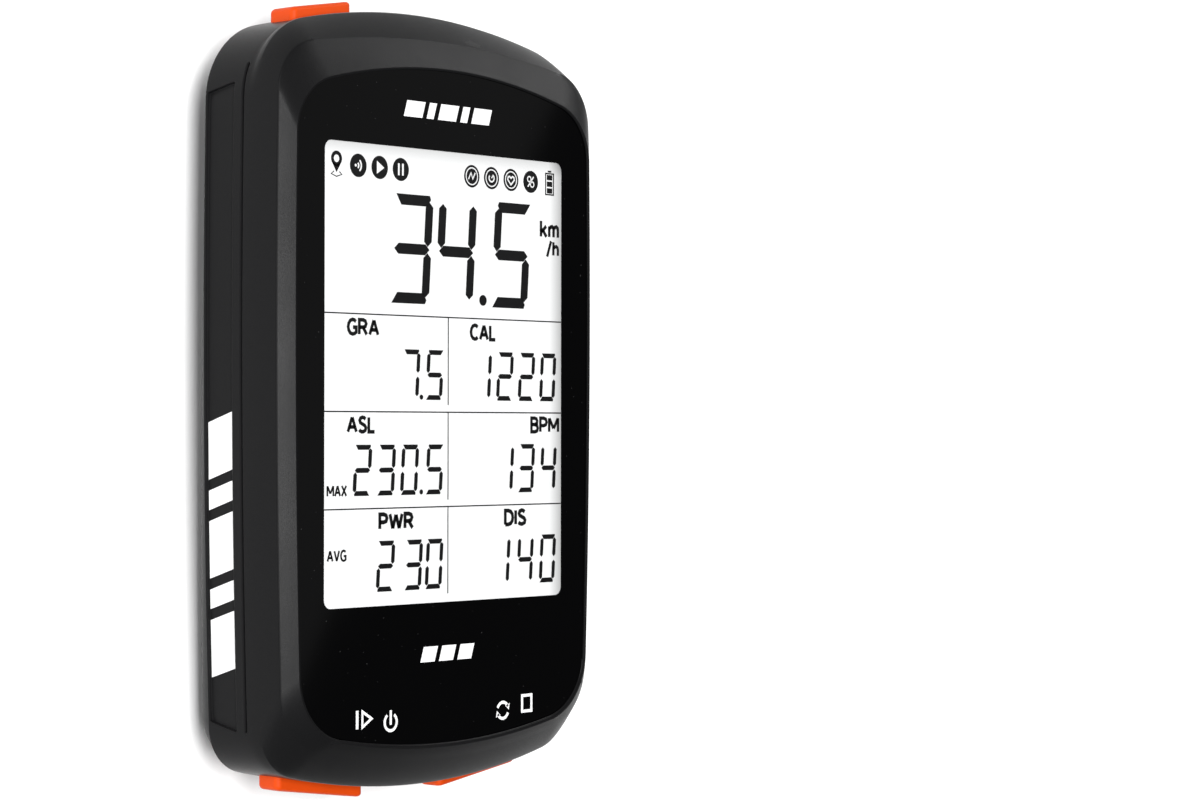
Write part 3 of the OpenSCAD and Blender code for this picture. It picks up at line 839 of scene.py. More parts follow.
# Each letter: its width, then its strokes, in shares of its height
LETTERS = {
    "A": (0.6, [
        [(0, 0), (0.29, 1)], [(0.31, 1), (0.6, 0)], [(0.1, 0.33), (0.5, 0.33)],
    ]),
    "B": (0.5, [
        [(0, 0.53), (0.27, 0.53), (0.43, 0.62), (0.45, 0.78), (0.4, 0.94), (0.26, 1), (0, 1), (0, 0),
         (0.28, 0), (0.45, 0.07), (0.5, 0.26), (0.45, 0.45), (0.27, 0.53)],
    ]),
    "C": (0.54, [
        [(0.54, 0.86), (0.43, 0.97), (0.31, 1), (0.15, 0.93), (0.04, 0.74), (0, 0.5), (0.04, 0.26),
         (0.15, 0.07), (0.31, 0), (0.44, 0.04), (0.54, 0.15)],
    ]),
    "D": (0.55, [
        [(0, 0), (0, 1), (0.22, 1), (0.4, 0.93), (0.52, 0.74), (0.55, 0.5), (0.52, 0.26), (0.4, 0.07),
         (0.22, 0), (0, 0)],
    ]),
    "G": (0.58, [
        [(0.55, 0.86), (0.44, 0.97), (0.31, 1), (0.15, 0.93), (0.04, 0.74), (0, 0.5), (0.04, 0.26),
         (0.15, 0.07), (0.31, 0), (0.46, 0.04), (0.57, 0.14), (0.57, 0.47), (0.34, 0.47)],
    ]),
    "I": (0.02, [
        [(0.01, 0), (0.01, 1)],
    ]),
    "L": (0.42, [
        [(0, 1), (0, 0), (0.42, 0)],
    ]),
    "M": (0.72, [
        [(0, 0), (0, 1)], [(0.02, 0.98), (0.35, 0.25)], [(0.37, 0.25), (0.7, 0.98)],
        [(0.72, 1), (0.72, 0)],
    ]),
    "P": (0.5, [
        [(0, 0), (0, 1), (0.27, 1), (0.44, 0.92), (0.5, 0.72), (0.44, 0.52), (0.27, 0.45), (0, 0.45)],
    ]),
    "R": (0.54, [
        [(0, 0), (0, 1), (0.27, 1), (0.44, 0.92), (0.5, 0.74), (0.44, 0.56), (0.27, 0.49), (0, 0.49)],
        [(0.27, 0.49), (0.54, 0)],
    ]),
    "S": (0.48, [
        [(0.45, 0.87), (0.35, 0.97), (0.23, 1), (0.09, 0.94), (0.03, 0.79), (0.08, 0.63), (0.24, 0.53),
         (0.4, 0.43), (0.48, 0.28), (0.44, 0.1), (0.3, 0.01), (0.18, 0), (0.06, 0.06), (0, 0.15)],
    ]),
    "V": (0.56, [
        [(0, 1), (0.27, 0)], [(0.29, 0), (0.56, 1)],
    ]),
    "W": (0.86, [
        [(0, 1), (0.2, 0)], [(0.21, 0), (0.42, 0.95)], [(0.44, 0.95), (0.65, 0)], [(0.66, 0), (0.86, 1)],
    ]),
    "X": (0.54, [
        [(0, 0), (0.54, 1)], [(0, 1), (0.54, 0)],
    ]),
    "k": (0.42, [
        [(0, 0), (0, 1)], [(0.4, 0.68), (0.02, 0.28)], [(0.14, 0.42), (0.42, 0)],
    ]),
    "m": (0.66, [
        [(0, 0), (0, 0.68)], [(0, 0.5), (0.1, 0.64), (0.22, 0.68), (0.31, 0.6), (0.33, 0.45), (0.33, 0)],
        [(0.33, 0.5), (0.43, 0.64), (0.55, 0.68), (0.64, 0.6), (0.66, 0.45), (0.66, 0)],
    ]),
    "h": (0.4, [
        [(0, 0), (0, 1)], [(0, 0.5), (0.12, 0.64), (0.25, 0.68), (0.36, 0.6), (0.4, 0.45), (0.4, 0)],
    ]),
    "/": (0.34, [
        [(0, -0.12), (0.34, 1.06)],
    ]),
}


def label(marks, word, x0, x1, y0, y1, stroke):
    """Draws a unit or field label so that it fills x0 to x1 and y0 to y1."""
    gap = 0.21
    total = sum(LETTERS[c][0] for c in word) + gap * (len(word) - 1)
    inner = stroke / 2
    across, up = (x1 - x0 - stroke) / total, (y1 - y0 - stroke)
    x = x0 + inner
    for c in word:
        wide, lines = LETTERS[c]
        for points in lines:
            marks.line([(x + px * across, y0 + inner + py * up) for px, py in points], stroke)
        x += (wide + gap) * across


# ---------------------------------------------------------------- operators

BUTTONS = {
    # name: middle, length, lowest, highest, end
    "top_left": (-13.1, 9.0, SEAM_Z + 1.3, SEAM_Z + 5.3, 1),
    "bottom_left": (-12.75, 13.2, SEAM_Z + 1.6, SEAM_Z + 4.9, -1),
    "bottom_right": (12.75, 13.2, SEAM_Z + 1.6, SEAM_Z + 4.9, -1),
}
STEM_Z = FRONT_Z - 8.4
STEM_R = 1.1


def button_hole(name, corner, grow):
    x, wide, low, high, end = BUTTONS[name]
    outline = rounded_box(wide / 2 + grow, (high - low) / 2 + grow, corner + grow)
    return bar(name + "_hole", outline, x, (low + high) / 2, end * 30.0, end * 52.0)


def side_recesses(sizes):
    """Cutters for the long side panels and the fine grooves above them."""
    cutters = []
    end = sizes.length / 2
    for side in (-1, 1):
        for low, high, start, stop in (
            (SEAM_Z + 0.35, FRONT_Z - 7.5, 7.5 - end, end - 9.5),
            (FRONT_Z - 6.15, FRONT_Z - 5.85, 7.5 - end, end - 7.5),
        ):
            slant = 0.9 if high - low > 1 else 0.0
            line = side_line(sizes, side)
            far = side * (sizes.width / 2 + 1)
            rings = []
            for i in range(41):
                y = start + (stop - start) * i / 40
                tilt = {0: -slant, 40: slant}.get(i, 0.0)
                near = line_at(line, y)
                rings.append([(near, y - tilt, low), (far, y - tilt, low), (far, y, high), (near, y, high)])
            cutters.append(loft("recess", rings))
    return cutters


class COMPUTER_OT_front_housing(bpy.types.Operator):
    """Builds the front half of the casing, with its lip, flared ends, side panels and openings"""

    bl_idname = "computer.front_housing"
    bl_label = "Front housing"

    def execute(self, context):
        sizes = context.scene.computer_casing
        buttons = context.scene.computer_buttons
        colours = context.scene.computer_finishes
        ledge = FRONT_Z - LEDGE_DEPTH
        inner_z = FRONT_Z - 5.0
        end = sizes.length / 2
        rings = [at_height(housing_outline(sizes, depth), FRONT_Z - depth) for depth in (
            FRONT_Z - SEAM_Z, 9.0, 6.6, 6.0, 5.6, 5.2, 4.8, 4.4, 4.0, 3.6, 3.2, 2.8, 2.4, 2.1, 1.8,
            1.55, 1.35, 1.2, 1.08, CREASE_DEPTH,
        )]
        crease = housing_outline(sizes, CREASE_DEPTH)
        band = CREASE_DEPTH + sizes.lip * 0.92
        rim = lip_outline(sizes, sizes.lip_width * 0.4)
        for k in (0.25, 0.5, 0.75, 0.93):
            swell = 0.025 * math.sin(math.pi * k)
            rings.append([
                (a + (c - a) * k, b + (d - b) * k, FRONT_Z - CREASE_DEPTH + band * k + swell)
                for (a, b), (c, d) in zip(crease, rim)
            ])
        for grow, rise in (
            (sizes.lip_width * 0.4, 0.93), (0.13, 0.99), (0.05, 0.88), (0.0, 0.55), (0.0, 0.07),
        ):
            rings.append(at_height(lip_outline(sizes, grow), FRONT_Z + sizes.lip * rise))
        for grow, z in (
            (0.05, FRONT_Z + 0.004), (0.05, FRONT_Z - 0.1), (0.05, ledge), (-2.2, ledge),
            (-2.2, ledge - LEDGE_THICK),
        ):
            rings.append(at_height(glass_outline(sizes, grow), z))
        upper = barrel(sizes, sizes.width / 2 - 2.7, end - 4.9, 4.1 - end, 8.0, 8.0)
        rings += [
            at_height(upper, ledge - LEDGE_THICK), at_height(upper, inner_z),
            at_height(cavity_outline(sizes), inner_z), at_height(cavity_outline(sizes), SEAM_Z),
        ]
        piece = loft("housing_shell", rings, closed=True)
        flap_low, flap_high = (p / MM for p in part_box("usb_flap"))
        port_low, port_high = (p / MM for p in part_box("usb_receptacle"))
        cutters = [button_hole(name, buttons.corner, 0.12) for name in BUTTONS]
        cutters.append(box_cutter(
            "flap_recess", (flap_low.x - 0.12, -50.0, flap_low.z - 0.5),
            (flap_high.x + 0.12, flap_low.y + 1.15, flap_high.z + 0.12),
        ))
        port_h = (port_high.z - port_low.z) / 2
        cutters.append(bar(
            "port_hole", rounded_box(port_high.x + 0.15, port_h + 0.15, 1.4, 8), 0.0, port_low.z + port_h,
            -46.0, -38.0,
        ))
        combine(piece, cutters + side_recesses(sizes))
        soften(piece, sizes.edge)
        keep_between(piece, SEAM_Z, FRONT_Z + sizes.lip)
        plastic = moulded("casing_plastic", colours.casing, 0.34, level=0.065)
        dress(piece, plastic, stands_for=["front_housing"], angle=12.0)
        return {"FINISHED"}


class COMPUTER_OT_rear_cover(bpy.types.Operator):
    """Builds the rounded rear cover, with its screw seats, mount pocket and vent"""

    bl_idname = "computer.rear_cover"
    bl_label = "Rear cover"

    def execute(self, context):
        sizes = context.scene.computer_casing
        colours = context.scene.computer_finishes
        deep = SEAM_Z - BACK_Z
        step_in, edge_in, round_in = 0.4, 0.2, 2.8
        rings = []
        for f in (0.0, 0.012, 0.035, 0.075, 0.13, 0.2, 0.29, 0.4, 0.52, 0.65, 0.78, 0.9, 0.97, 1.0):
            inset = step_in + edge_in + round_in * (1 - f**0.45)
            if f > 0.95:
                inset += (f - 0.95) * 2.0
            outline = body_outline(sizes, -inset)
            rings.append([(x, y, BACK_Z + f * deep + BACK_SLOPE * (1 - f) * y) for x, y in outline])
        rings.append(at_height(cavity_outline(sizes, -2.4), SEAM_Z))
        rings.append(at_height(cavity_outline(sizes, -2.4), BACK_Z + 1.8))
        piece = loft("cover_shell", rings)
        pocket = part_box("quarter_turn_mount")[1]
        cutters = [slab("pocket", circle(13.45, 96), BACK_Z - 3, pocket.z / MM + 0.3)]
        cutters.append(slab("vent", circle(0.6, 24, 0.0, sizes.length / 2 - 15), BACK_Z - 3, BACK_Z + 3))
        x, y = sizes.width / 2 - 5.8, sizes.length / 2 - 9.5
        for sx in (-1, 1):
            for sy in (-1, 1):
                cutters.append(slab("seat", circle(2.05, 40, sx * x, sy * y), BACK_Z - 3, BACK_Z + 2.1))
        combine(piece, cutters)
        soften(piece, 0.12, 30.0)
        plastic = moulded("cover_plastic", colours.cover, 0.4, 7000.0, 0.00004, level=0.07)
        dress(piece, plastic, stands_for=["rear_cover"])
        return {"FINISHED"}


class COMPUTER_OT_glass(bpy.types.Operator):
    """Builds the cover glass with its printed border and the window for the display"""

    bl_idname = "computer.glass"
    bl_label = "Cover glass"

    def execute(self, context):
        sizes = context.scene.computer_casing
        display = context.scene.computer_display
        colours = context.scene.computer_finishes
        low, top = GLASS_LOW.z / MM, FRONT_Z
        rings = [at_height(glass_outline(sizes, grow), z) for grow, z in (
            (-0.1, low), (0.0, low + 0.1), (0.0, top - 0.16), (-0.02, top - 0.08), (-0.07, top - 0.03),
            (-0.16, top),
        )]
        piece = loft("glass", rings)
        window = [
            (x, y + display.middle)
            for x, y in rounded_box(display.width / 2, display.height / 2, 1.0, 8)
        ]
        combine(piece, [slab("window", window, low - 1, top + 1)])
        polish = glassy("printed_glass", colours.glass)
        dress(piece, polish, stands_for=["cover_glass"], angle=30.0)
        return {"FINISHED"}


class COMPUTER_OT_display(bpy.types.Operator):
    """Builds the display: its pale face, the digits, labels, rules and status icons"""

    bl_idname = "computer.display"
    bl_label = "Display"

    def execute(self, context):
        sizes = context.scene.computer_display
        colours = context.scene.computer_finishes
        low, high = (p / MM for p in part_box("lcd_panel"))
        face_z = FRONT_Z - 0.06
        window = [
            (x, y + sizes.middle)
            for x, y in rounded_box(sizes.width / 2 - 0.01, sizes.height / 2 - 0.01, 1.0, 8)
        ]
        panel = [(low.x, low.y), (high.x, low.y), (high.x, high.y), (low.x, high.y)]
        body = slab("display_panel", panel, low.z, high.z - 0.05)
        step = slab("display_window", window, low.z + 0.5, face_z)
        combine(body, [step], "UNION")
        edges = (sizes.width / 2 * MM, (sizes.height / 2 + sizes.middle) * MM)
        face = reflective_display("display_face", colours.display, *edges)
        dress(body, face, stands_for=["lcd_panel"], angle=30.0)
        ink = Marks(face_z - 0.004, face_z + 0.012)
        self.draw_fields(ink, sizes)
        self.draw_rules(ink, sizes)
        bright = Marks(face_z + 0.012, face_z + 0.02)
        self.draw_icons(ink, bright, sizes)
        dress(ink.make("display_ink"), inked("segment_ink", colours.ink, 0.36))
        clear = inked("clear_marks", colours.display, 0.42, 0.05)
        dress(bright.make("display_clear_marks"), clear)
        return {"FINISHED"}

    def draw_fields(self, ink, sizes):
        """Digits and labels; places are from the picture area's centre."""
        dy = sizes.middle
        big, small = sizes.big_stroke, sizes.small_stroke
        places = (-9.3, -2.15, 7.1)
        for figure, x in zip(sizes.speed.replace(".", ""), places):
            digit(ink, figure, x, 8.0 + dy, 6.2, 12.1, big, sizes.slant)
        ink.fill(circle(0.62, 24, 5.8, 8.75 + dy))
        label(ink, "km", 15.5, 18.9, 16.3 + dy, 18.55 + dy, 0.43)
        label(ink, "/h", 16.6, 18.9, 14.2 + dy, 16.15 + dy, 0.4)
        fields = (
            (-2.64, (("7", -7.45), ("5", -3.65)), (-4.25,)),
            (-2.64, (("1", 4.3), ("2", 8.0), ("2", 11.7), ("0", 15.4)), ()),
            (-13.17, (("2", -15.0), ("3", -11.3), ("0", -7.65), ("5", -3.65)), (-4.25,)),
            (-13.17, (("1", 8.1), ("3", 11.7), ("4", 15.5)), ()),
            (-23.7, (("2", -11.4), ("3", -7.0), ("0", -3.7)), ()),
            (-23.7, (("1", 7.5), ("4", 11.5), ("0", 15.4)), ()),
        )
        for y, figures, dots in fields:
            for figure, x in figures:
                digit(ink, figure, x, y + dy, 2.72, 5.57, small, sizes.slant, 0.22)
            for x in dots:
                ink.fill(circle(0.29, 16, x, y + 0.3 + dy))
        for word, x0, x1, y0, y1, stroke in (
            ("GRA", -15.9, -10.9, 4.2, 6.2, 0.42), ("CAL", 3.6, 8.1, 4.1, 6.1, 0.42),
            ("ASL", -15.9, -11.4, -6.4, -4.4, 0.42), ("BPM", 13.9, 18.98, -6.4, -4.4, 0.42),
            ("PWR", -11.0, -5.4, -17.05, -15.0, 0.46), ("DIS", 9.4, 13.25, -17.05, -15.0, 0.46),
            ("MAX", -18.9, -15.8, -13.25, -11.9, 0.25), ("AVG", -18.85, -15.85, -20.25, -18.9, 0.25),
        ):
            label(ink, word, x0, x1, y0 + dy, y1 + dy, stroke)

    def draw_rules(self, ink, sizes):
        """Fine lines between the fields."""
        dy, edge = sizes.middle, sizes.width / 2 - 0.05
        for y in (6.64, -4.0, -14.57):
            ink.line([(-edge, y + dy), (edge, y + dy)], 0.15)
        for y0, y1 in ((6.6, -3.2), (-4.0, -13.8), (-14.6, -24.3)):
            ink.line([(0.07, y0 + dy), (0.07, y1 + dy)], 0.15)

    def draw_icons(self, ink, bright, sizes):
        """Status row: place, radio link, play, pause, then four sensors and the cell's charge."""
        y = 22.75 + sizes.middle
        r = 1.28
        ink.ring(-17.5, y + 0.55, 0.62, 0.42)
        ink.fill([(-18.25, y + 0.2), (-17.5, y - 0.95), (-16.75, y + 0.2), (-17.5, y - 0.15)])
        ink.line([
            (-17.9, y - 0.85), (-18.3, y - 1.15), (-17.5, y - 1.4), (-16.7, y - 1.15), (-17.1, y - 0.85),
        ], 0.13)
        for x in (-14.2, -10.9, -7.6, 3.9, 7.2, 10.5, 13.9):
            ink.fill(circle(r, 40, x, y))
        for radius in (0.35, 0.75):
            bright.ring(-14.5, y, radius, 0.2, -50.0, 50.0)
        bright.fill(circle(0.16, 12, -14.6, y))
        bright.fill([(-11.35, y - 0.72), (-10.2, y), (-11.35, y + 0.72)])
        for dx in (-0.32, 0.32):
            bright.line([(-7.6 + dx, y - 0.66), (-7.6 + dx, y + 0.66)], 0.26)
        for x in (3.9, 7.2, 10.5):
            bright.ring(x, y, 0.95, 0.13)
        bright.line([(3.35, y - 0.35), (3.75, y + 0.38), (4.05, y - 0.3), (4.45, y + 0.4)], 0.17)
        bright.ring(7.2, y, 0.42, 0.17, -220.0, 60.0)
        bright.line([(7.2, y), (7.45, y + 0.35)], 0.15)
        bright.line([
            (10.5, y - 0.55), (9.95, y), (10.0, y + 0.3), (10.25, y + 0.4), (10.5, y + 0.2),
            (10.75, y + 0.4), (11.0, y + 0.3), (11.05, y),
        ], 0.17, True)
        bright.line([(13.4, y - 0.6), (14.4, y + 0.6)], 0.17)
        bright.ring(13.65, y + 0.3, 0.3, 0.14)
        bright.ring(14.15, y - 0.3, 0.3, 0.14)
        ink.line([(16.5, y - 1.3), (17.9, y - 1.3), (17.9, y + 1.15), (16.5, y + 1.15)], 0.17, True)
        ink.line([(16.9, y + 1.4), (17.5, y + 1.4)], 0.22)
        for dy in (-0.85, -0.08, 0.69):
            low, high = y + dy - 0.3, y + dy + 0.3
            ink.fill([(16.72, low), (17.68, low), (17.68, high), (16.72, high)])


class COMPUTER_OT_printed_marks(bpy.types.Operator):
    """Builds the printed marks: key symbols under the display and plain bars on the glass and side"""

    bl_idname = "computer.printed_marks"
    bl_label = "Printed marks"

    def execute(self, context):
        colours = context.scene.computer_finishes
        white = inked("white_print", colours.print, 0.5, 0.08)
        marks = Marks(FRONT_Z - 0.004, FRONT_Z + 0.012)
        y = -34.95
        marks.line([(-14.25, y - 1.0), (-14.25, y + 1.0)], 0.38)
        marks.line([(-13.45, y - 0.85), (-13.45, y + 0.85), (-12.05, y)], 0.36, True)
        low = y - 0.6
        marks.ring(-9.07, low, 0.94, 0.32, -235.0, 55.0)
        marks.line([(-9.07, low - 0.3), (-9.07, low + 1.3)], 0.32)
        marks.ring(9.2, low, 0.92, 0.34, 25.0, 160.0)
        marks.ring(9.2, low, 0.92, 0.34, 205.0, 340.0)
        marks.fill([(9.6, low + 0.5), (10.35, low + 0.75), (10.2, low + 0.02)])
        marks.fill([(8.8, low - 0.5), (8.05, low - 0.75), (8.2, low - 0.02)])
        marks.line([(12.5, y - 0.95), (14.1, y - 0.95), (14.1, y + 0.85), (12.5, y + 0.85)], 0.34, True)
        self.slanted_bars(marks, -7.2, 7.2, 31.2, 33.0, (2.6, 1.0, 2.6, 1.0, 2.6), 0.55)
        self.slanted_bars(marks, -4.4, 4.4, -29.3, -27.6, (1.0, 1.0, 1.0), 0.55)
        dress(marks.make("glass_print"), white)
        dress(self.side_print(context), white)
        return {"FINISHED"}

    def slanted_bars(self, marks, x0, x1, y0, y1, shares, lean):
        """A row of plain leaning bars."""
        gap = 0.7
        unit = (x1 - x0 - gap * (len(shares) - 1) - lean) / sum(shares)
        x = x0
        for share in shares:
            wide = share * unit
            marks.fill([(x, y0), (x + wide, y0), (x + wide + lean, y1), (x + lean, y1)])
            x += wide + gap

    def side_print(self, context):
        """Plain leaning bars along the left side panel, laid on its recessed face."""
        sizes = context.scene.computer_casing
        line = side_line(sizes, -1)
        low, high, lean = SEAM_Z + 0.45, FRONT_Z - 7.7, 1.2
        points, faces = [], []
        y = -2.7
        for long in (6.2, 2.1, 6.2, 2.1, 6.2):
            corners = ((y, low), (y - long, low), (y - long + lean, high), (y + lean, high))
            start = len(points)
            for out in (-0.012, 0.006):
                points += [(line_at(line, a) - out - 0.004, a, z) for a, z in corners]
            faces += [tuple(start + i for i in f) for f in (
                (0, 1, 2, 3), (7, 6, 5, 4), (0, 4, 5, 1), (1, 5, 6, 2), (2, 6, 7, 3), (3, 7, 4, 0)
            )]
            y -= long + 1.2
        return mesh_object("side_print", points, faces)


class COMPUTER_OT_buttons(bpy.types.Operator):
    """Builds the three soft-touch push buttons with their flanges and stems"""

    bl_idname = "computer.buttons"
    bl_label = "Push buttons"

    def execute(self, context):
        sizes = context.scene.computer_casing
        keys = context.scene.computer_buttons
        colours = context.scene.computer_finishes
        finish = rubbery("button_rubber", colours.button, 0.5, 0.02, 0.12)
        for name in BUTTONS:
            piece = self.build(name, sizes, keys)
            dress(piece, finish, f"{name}_key", [f"{name}_button"], angle=50.0)
        return {"FINISHED"}

    def build(self, name, sizes, keys):
        x, wide, low, high, end = BUTTONS[name]
        half_w, half_h, middle = wide / 2, (high - low) / 2, (low + high) / 2
        pin_low, pin_high = (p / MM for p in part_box(f"{name}_plunger"))
        tip = pin_high.y + 0.02 if end > 0 else pin_low.y - 0.02
        root = sizes.length / 2 - 4.0
        rings = []
        steps = 8

        def outline(inset, radius, stretch=0.0):
            return rounded_box(half_w - inset + stretch, half_h - inset + stretch, max(radius, 0.05), steps)

        def stem(y):
            angles = [direction(a, b) for a, b in outline(0.0, keys.corner)]
            points = [(STEM_R * math.cos(a), STEM_R * math.sin(a)) for a in angles]
            rings.append(along_y(points, y, x, STEM_Z))

        def shell(points, grow):
            rings.append([(x + a, end_arch(sizes, x + a, grow, end), middle + b) for a, b in points])

        stem(tip)
        stem(end * root)
        for grow in (-3.28, -2.52):
            shell(outline(0.0, keys.corner + 0.55, 0.55), grow)
        shell(outline(0.0, keys.corner), -2.5)
        shell(outline(0.0, keys.corner), keys.proud - keys.fillet)
        for i in range(1, 7):
            a = math.pi / 2 * i / 6
            drop = keys.fillet * (1 - math.sin(a))
            inset = keys.fillet * (1 - math.cos(a))
            shell(outline(inset, keys.corner - inset * 0.8), keys.proud - drop)
        for share in (0.55, 0.8, 0.97):
            inset = keys.fillet + (half_h - keys.fillet) * share
            shell(outline(inset, (keys.corner - keys.fillet * 0.8) * (1 - share)), keys.proud)
        return loft(f"{name}_cap", rings)


class COMPUTER_OT_port_flap(bpy.types.Operator):
    """Builds the rubber flap over the charging port, with its bead, plug and grip grooves"""

    bl_idname = "computer.port_flap"
    bl_label = "Port flap"

    def execute(self, context):
        low, high = (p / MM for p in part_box("usb_flap"))
        half = high.x
        thick = 1.1
        bead = (low.y + thick / 2, low.z + thick / 2)
        outer, inner = low.y, low.y + thick
        profile = []
        for i in range(17):
            a = math.pi + math.pi * i / 16
            profile.append((bead[0] + thick / 2 * math.cos(a), bead[1] + thick / 2 * math.sin(a)))
        profile += [
            (inner, high.z - 0.15), (inner - 0.15, high.z),
            (outer + 0.3, high.z), (outer + 0.05, high.z - 0.2),
        ]
        my, mz = (sum(p[i] for p in profile) / len(profile) for i in (0, 1))
        rows = []
        for x, trim in (
            (-half, 0.16), (-half + 0.05, 0.06), (-half + 0.16, 0.0),
            (half - 0.16, 0.0), (half - 0.05, 0.06), (half, 0.16),
        ):
            rows.append([
                (x, y + (my - y) * trim / 0.6, z + (mz - z) * trim / 2.0) for y, z in profile
            ])
        piece = loft("port_flap", rows)
        port_low, port_high = (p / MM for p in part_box("usb_receptacle"))
        plug_z = (port_low.z + port_high.z) / 2 - 0.05
        plug = bar("plug", rounded_box(3.6, 0.8, 0.7, 6), 0.0, plug_z, inner - 0.4, high.y)
        combine(piece, [plug], "UNION")
        grip = rounded_box(1.7, 0.09, 0.08, 3)
        grooves = [
            bar("groove", grip, 0.0, low.z + 2.7 + 0.38 * i, outer - 0.3, outer + 0.13) for i in range(3)
        ]
        combine(piece, grooves)
        soften(piece, 0.06, 40.0)
        skin = rubbery("flap_skin", (0.022, 0.022, 0.024), 0.7)
        dress(piece, skin, "port_flap", ["usb_flap"])
        return {"FINISHED"}


class COMPUTER_OT_twist_mount(bpy.types.Operator):
    """Builds the quarter-turn twist mount: round neck, two wings, screw seats and rings in its lower face"""

    bl_idname = "computer.twist_mount"
    bl_label = "Twist mount"

    def execute(self, context):
        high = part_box("quarter_turn_mount")[1] / MM
        neck, wing, base = 11.85, 14.1, 13.35
        piece = loft("twist_mount", [at_height(circle(r, 128), z) for r, z in (
            (neck - 0.5, 0.0), (neck - 0.3, 0.04), (neck - 0.09, 0.16), (neck, 0.4), (neck, BACK_Z),
            (base, BACK_Z), (base, high.z),
        )])
        wings = []
        for turn in (0, 180):
            angles = [math.radians(turn - 31 + 62 * i / 40) for i in range(41)]
            inner = [((neck - 1) * math.cos(a), (neck - 1) * math.sin(a)) for a in reversed(angles)]
            flat = []
            for cut, z in ((0.3, 0.0), (0.09, 0.09), (0.0, 0.3), (0.0, 1.7), (0.09, 1.91), (0.3, 2.0)):
                outer = [((wing - cut) * math.cos(a), (wing - cut) * math.sin(a)) for a in angles]
                flat.append(at_height(outer + inner, z))
            wings.append(loft("wing", flat))
        combine(piece, wings, "UNION")
        seats = [slab("middle", circle(4.0, 48), BACK_Z - 0.9, high.z + 1)]
        screw_ring = 7
        for turn in (45, 135, 225, 315):
            x, y = screw_ring * math.cos(math.radians(turn)), screw_ring * math.sin(math.radians(turn))
            seats.append(slab("seat", circle(2.0, 40, x, y), -1.0, 2.1))
            seats.append(slab("hole", circle(1.1, 24, x, y), 1.0, BACK_Z + 2))
        seats.append(slab("dish", circle(3.4, 64), -1.0, 0.5))
        for radius in (9.7, 10.5):
            ring = slab("ring", circle(radius + 0.12, 96), -1.0, 0.14)
            seats.append(combine(ring, [slab("core", circle(radius - 0.12, 96), -2.0, 1.0)]))
        combine(piece, seats)
        soften(piece, 0.05, 40.0)
        keep_between(piece, 0.0, high.z)
        nylon = moulded("mount_nylon", (0.025, 0.025, 0.027), 0.42, 5200.0, 0.00004, 0.3)
        dress(piece, nylon, stands_for=["quarter_turn_mount"])
        return {"FINISHED"}


class COMPUTER_OT_inner_finishes(bpy.types.Operator):
    """Gives each remaining piece its finish: seals, boards, chips, screws, cell and the rest"""

    bl_idname = "computer.inner_finishes"
    bl_label = "Inner finishes"

    def execute(self, context):
        finishes = {
            "silicone": rubbery("seal_silicone", (0.02, 0.02, 0.02), 0.58, 0.25),
            "flap_rubber": rubbery("anchor_rubber", (0.022, 0.022, 0.024), 0.7),
            "adhesive": foamy("foam_tape", (0.05, 0.05, 0.05)),
            "light_guide": clear_moulding("guide_moulding", (0.85, 0.87, 0.88)),
            "led": clear_moulding("led_phosphor", (0.9, 0.82, 0.45)),
            "white_plastic": moulded("white_moulding", (0.82, 0.81, 0.77), 0.45, 6000.0, 0.00002, 0.08),
            "ribbon": laminate("ribbon_film", (0.75, 0.32, 0.06), 0.3),
            "board": laminate("solder_mask", (0.012, 0.11, 0.045)),
            "chip": moulded("chip_resin", (0.015, 0.015, 0.016), 0.55, 12000.0, 0.00002, 0.35),
            "tinned_steel": plated("tinned_sheet", (0.72, 0.73, 0.75), 0.3, (1.0, 6.0, 1.0)),
            "antenna_ceramic": foamy("antenna_ceramic", (0.62, 0.5, 0.36)),
            "membrane": foamy("vent_sheet", (0.85, 0.85, 0.83)),
            "cell_foil": plated("cell_pouch", (0.62, 0.66, 0.72), 0.28, (1.0, 1.0, 1.0), 0.15),
            "foam": foamy("cell_foam", (0.04, 0.04, 0.042)),
            "lead": rubbery("lead_jacket", (0.5, 0.015, 0.012), 0.45, 0.05),
            "black_steel": plated("blackened_screw", (0.09, 0.09, 0.095), 0.38, (1.0, 1.0, 4.0)),
            "steel_screw": plated("zinc_screw", (0.62, 0.62, 0.6), 0.3, (1.0, 1.0, 4.0)),
            "insert_brass": plated("turned_brass", (0.8, 0.58, 0.26), 0.3, (1.0, 1.0, 5.0)),
            "plunger": moulded("plunger_moulding", (0.86, 0.84, 0.76), 0.4, 6000.0, 0.00002, 0.1),
        }
        slots = {row["node"]: row["material_slot"] for row in frame["record"]["subparts"]}
        for name, node in frame["nodes"].items():
            if node.hide_render:
                continue
            if slots[name] not in finishes:
                raise RuntimeError(f"no finish for {name}")
            node.data.materials.clear()
            node.data.materials.append(finishes[slots[name]])
        return {"FINISHED"}


